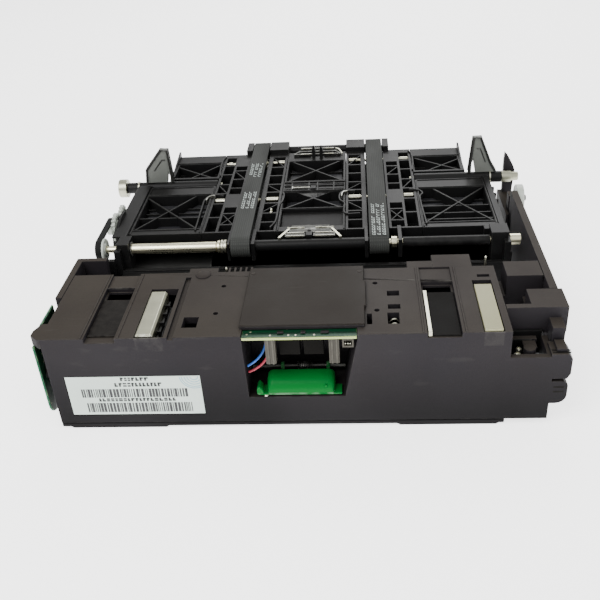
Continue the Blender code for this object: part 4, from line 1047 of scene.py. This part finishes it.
def gear_details():
    """The two moulded gears, and the timing pulley with its dished flange."""
    x = off(box("end_gear")[0].x, 1.5, 3.5)
    for name, teeth, turn, hub in (("timing_gear", 20, 0.0, 4.4), ("end_gear", 16, 0.5, 3.1)):
        low, high = box(name)
        shells = toothed(PIVOTS[name], teeth, 0.83, x, (low.x, x[1] + 0.3, hub), turn)
        pin = [(x[1], 1.3), (high.x - 0.4, 1.3), (high.x, 1.1)]
        shells.append(turned("X", PIVOTS[name], pin, 18))
        piece(name + "_moulding", shells, "white_plastic", name, width=0, stands_for=(name,))
    low, high = box("timing_pulley")
    flange, bore, hub, end = (high.z - low.z) / 2, 2.35, 4.4, high.x
    profile = [(low.x, bore), (low.x, hub), (end - 1.6, hub), (end - 1.5, flange - 0.3),
               (end - 1.2, flange), (end - 0.6, flange), (end - 0.2, flange - 0.4),
               (end - 0.8, flange - 1.4), (end - 0.8, 3.8), (end, 3.4), (end, bore), (low.x, bore)]
    piece("timing_pulley_turned", [turned("X", SHAFT, profile, 48)], "white_plastic", "drive_shaft", width=0,
          stands_for=("timing_pulley",))


def belt_teeth():
    """Teeth on the inside of the timing belt, along its straight runs."""
    low, high = box("timing_belt")
    idle, motor = PIVOTS["timing_gear"], PIVOTS["motor_pulley"]
    large, small, pitch = 4.8, 4, 1.6
    teeth = []
    for start, end, first, last in ((SHAFT, idle, large, large), (motor, SHAFT, small, large),
                                    (idle, motor, large, small)):
        run = Vector(end) - Vector(start)
        along = run.normalized()
        outward = Vector((-along.y, along.x))
        count = int(run.length / pitch)
        for index in range(1, count):
            share = index / count
            radius = first * (1 - share) + last * share
            foot = Vector(start) + run * share + outward * (radius + 0.1)
            tip = foot - outward * 0.7
            corners = (foot - along * 0.4, foot + along * 0.4, tip + along * 0.3, tip - along * 0.3)
            teeth.append(prism("X", corners, (low.x + 0.1, high.x - 0.1)))
    piece("timing_belt_teeth", teeth, "timing_rubber", width=0)


def belt_guard():
    """The guard arm over the timing belt and the flat flange along the left plate."""
    face = -PLATE_OUTER
    piece("left_wall_flange", [
        block(off(face, -5.2, 3.4), (-19, 52), off(TRAY_TOP, 0.2, 1.4)),
        block(off(face, -5.2, -4), (25, 52), (30, TRAY_TOP + 1)),
        block(off(face, -4.5, 2), (-36, -34.5), (6, 44)),
    ], "frame_black", width=0.3)
    arm = smooth_path([(-15.5, 50.5), (-9, 57), (1, 60.5), (11, 60)], 6)
    lower = [(y + 1.2, z - 3) for y, z in reversed(arm)]
    piece("belt_guard_arm", [prism("X", [*arm, *lower], off(face, -5.2, -3.6))], "frame_black", width=0.3)


# Sides and back


def chassis_details():
    """Ribs and screws on the transport's sides and back, a rear connector and louvres."""
    tall, low_wall, short = (4, 52), (4, 44), (4, 30)
    back = off(BOX_BACK, -0.4, 3)
    right, left = off(PLATE_OUTER, -0.4, 3), off(-PLATE_OUTER, -3, 0.4)
    rear_right, rear_left = (97.6, 100.8), (-100.8, -97.6)
    rear_rows = (72, 82, 92)
    ribs = [block(x, (y, y + 1.6), z) for x, z, rows in (
        (right, tall, (27, 36, 45)), (right, low_wall, (-25, -11, 4)),
        (left, short, (29, 40, 50)), (rear_left, low_wall, rear_rows),
        (rear_right, low_wall, rear_rows)) for y in rows]
    ribs += [block(off(30 * index, -0.8, 0.8), back, low_wall) for index in range(-3, 4)]
    ribs.append(block((-96, 96), back, (23.5, 25.1)))
    piece("chassis_ribs", ribs, "frame_black", width=0.3)
    screws = [screw_head("Y", (x, z), BOX_BACK + 0.4, 1.0, 2.4) for x in (-75, 75) for z in (12, 36)]
    screws += [screw_head("X", spot, PLATE_OUTER + 0.4, 1.0, 2.2) for spot in ((32, 12), (41, 40), (-18, 12))]
    screws += [screw_head("X", spot, -PLATE_OUTER - 0.4, -1.0, 2.2) for spot in ((34, 12), (45, 12))]
    piece("chassis_screws", screws, "steel", width=0)

    # Rear connector: four walls and two rows of contacts.
    half, wall, z = 24, 1.2, (29, 41)
    walls = (((-half, half), (z[0], z[0] + wall)), ((-half, half), (z[1] - wall, z[1])),
             ((-half, wall - half), z), ((half - wall, half), z))
    shell = [block(x, off(BOX_BACK, -0.4, 7), depth) for x, depth in walls]
    piece("rear_connector_shell", shell, "cream_plastic", width=0.3)
    pins = [block(off(3 - half + 3.6 * index, 0.0, 0.8), off(BOX_BACK, -0.4, 5.5), (row, row + 0.8))
            for row in (33, 36.5) for index in range(12)]
    piece("rear_connector_pins", pins, "steel", width=0.1)
    louvres = []
    for span in ((-56, -33), (33, 56)):
        for step in range(5):
            z = 7.5 + 3 * step
            wedge = [(BOX_BACK - 0.4, z), (BOX_BACK + 1.6, z), (BOX_BACK - 0.4, z + 2)]
            louvres.append(prism("X", wedge, span))
    piece("rear_louvres", louvres, "frame_black", width=0.1)


def rail_details():
    """Beads, frames and screws on the outer face of the right rail, and screws on the left wall."""
    rail = 126.2
    beads = [block((125.8, 126.8), (y, y + 12), (z, z + 1.2)) for y in (-70, -45, -20, 5) for z in (8, 46)]
    piece("rail_beads", beads, "housing")
    heads = [screw_head("X", (y, z), rail, 1.0, 2.1) for y in (-76, 24) for z in (48, 10)]
    heads += [screw_head("X", (FRONT + y, 28), box("left_side_wall")[0].x, -1.0, 1.9) for y in (45, 72)]
    piece("side_wall_screws", heads, "steel", width=0)
    skin_depth = off(rail, -0.2, 0.6)
    frames = []
    for y in (-70, -30):
        frames += [block(skin_depth, (y, y + 30), (z, z + 1)) for z in (16, 39)]
        frames += [block(skin_depth, (end, end + 1), (16, 40)) for end in (y, y + 29)]
    piece("rail_frames", frames, "housing")


make_camera()
make_floor()
make_light()
dress_frame()
label_details()
belt_marks()
channel_details()
deck_details()
side_board_details()
recess_details()
handle_grip()
bracket_details()
tray_details()
band_details()
pin_details()
silver_clips()
front_bracket_details()
rear_bracket_details()
shaft_details()
side_bar_details()
gear_details()
belt_teeth()
belt_guard()
chassis_details()
rail_details()
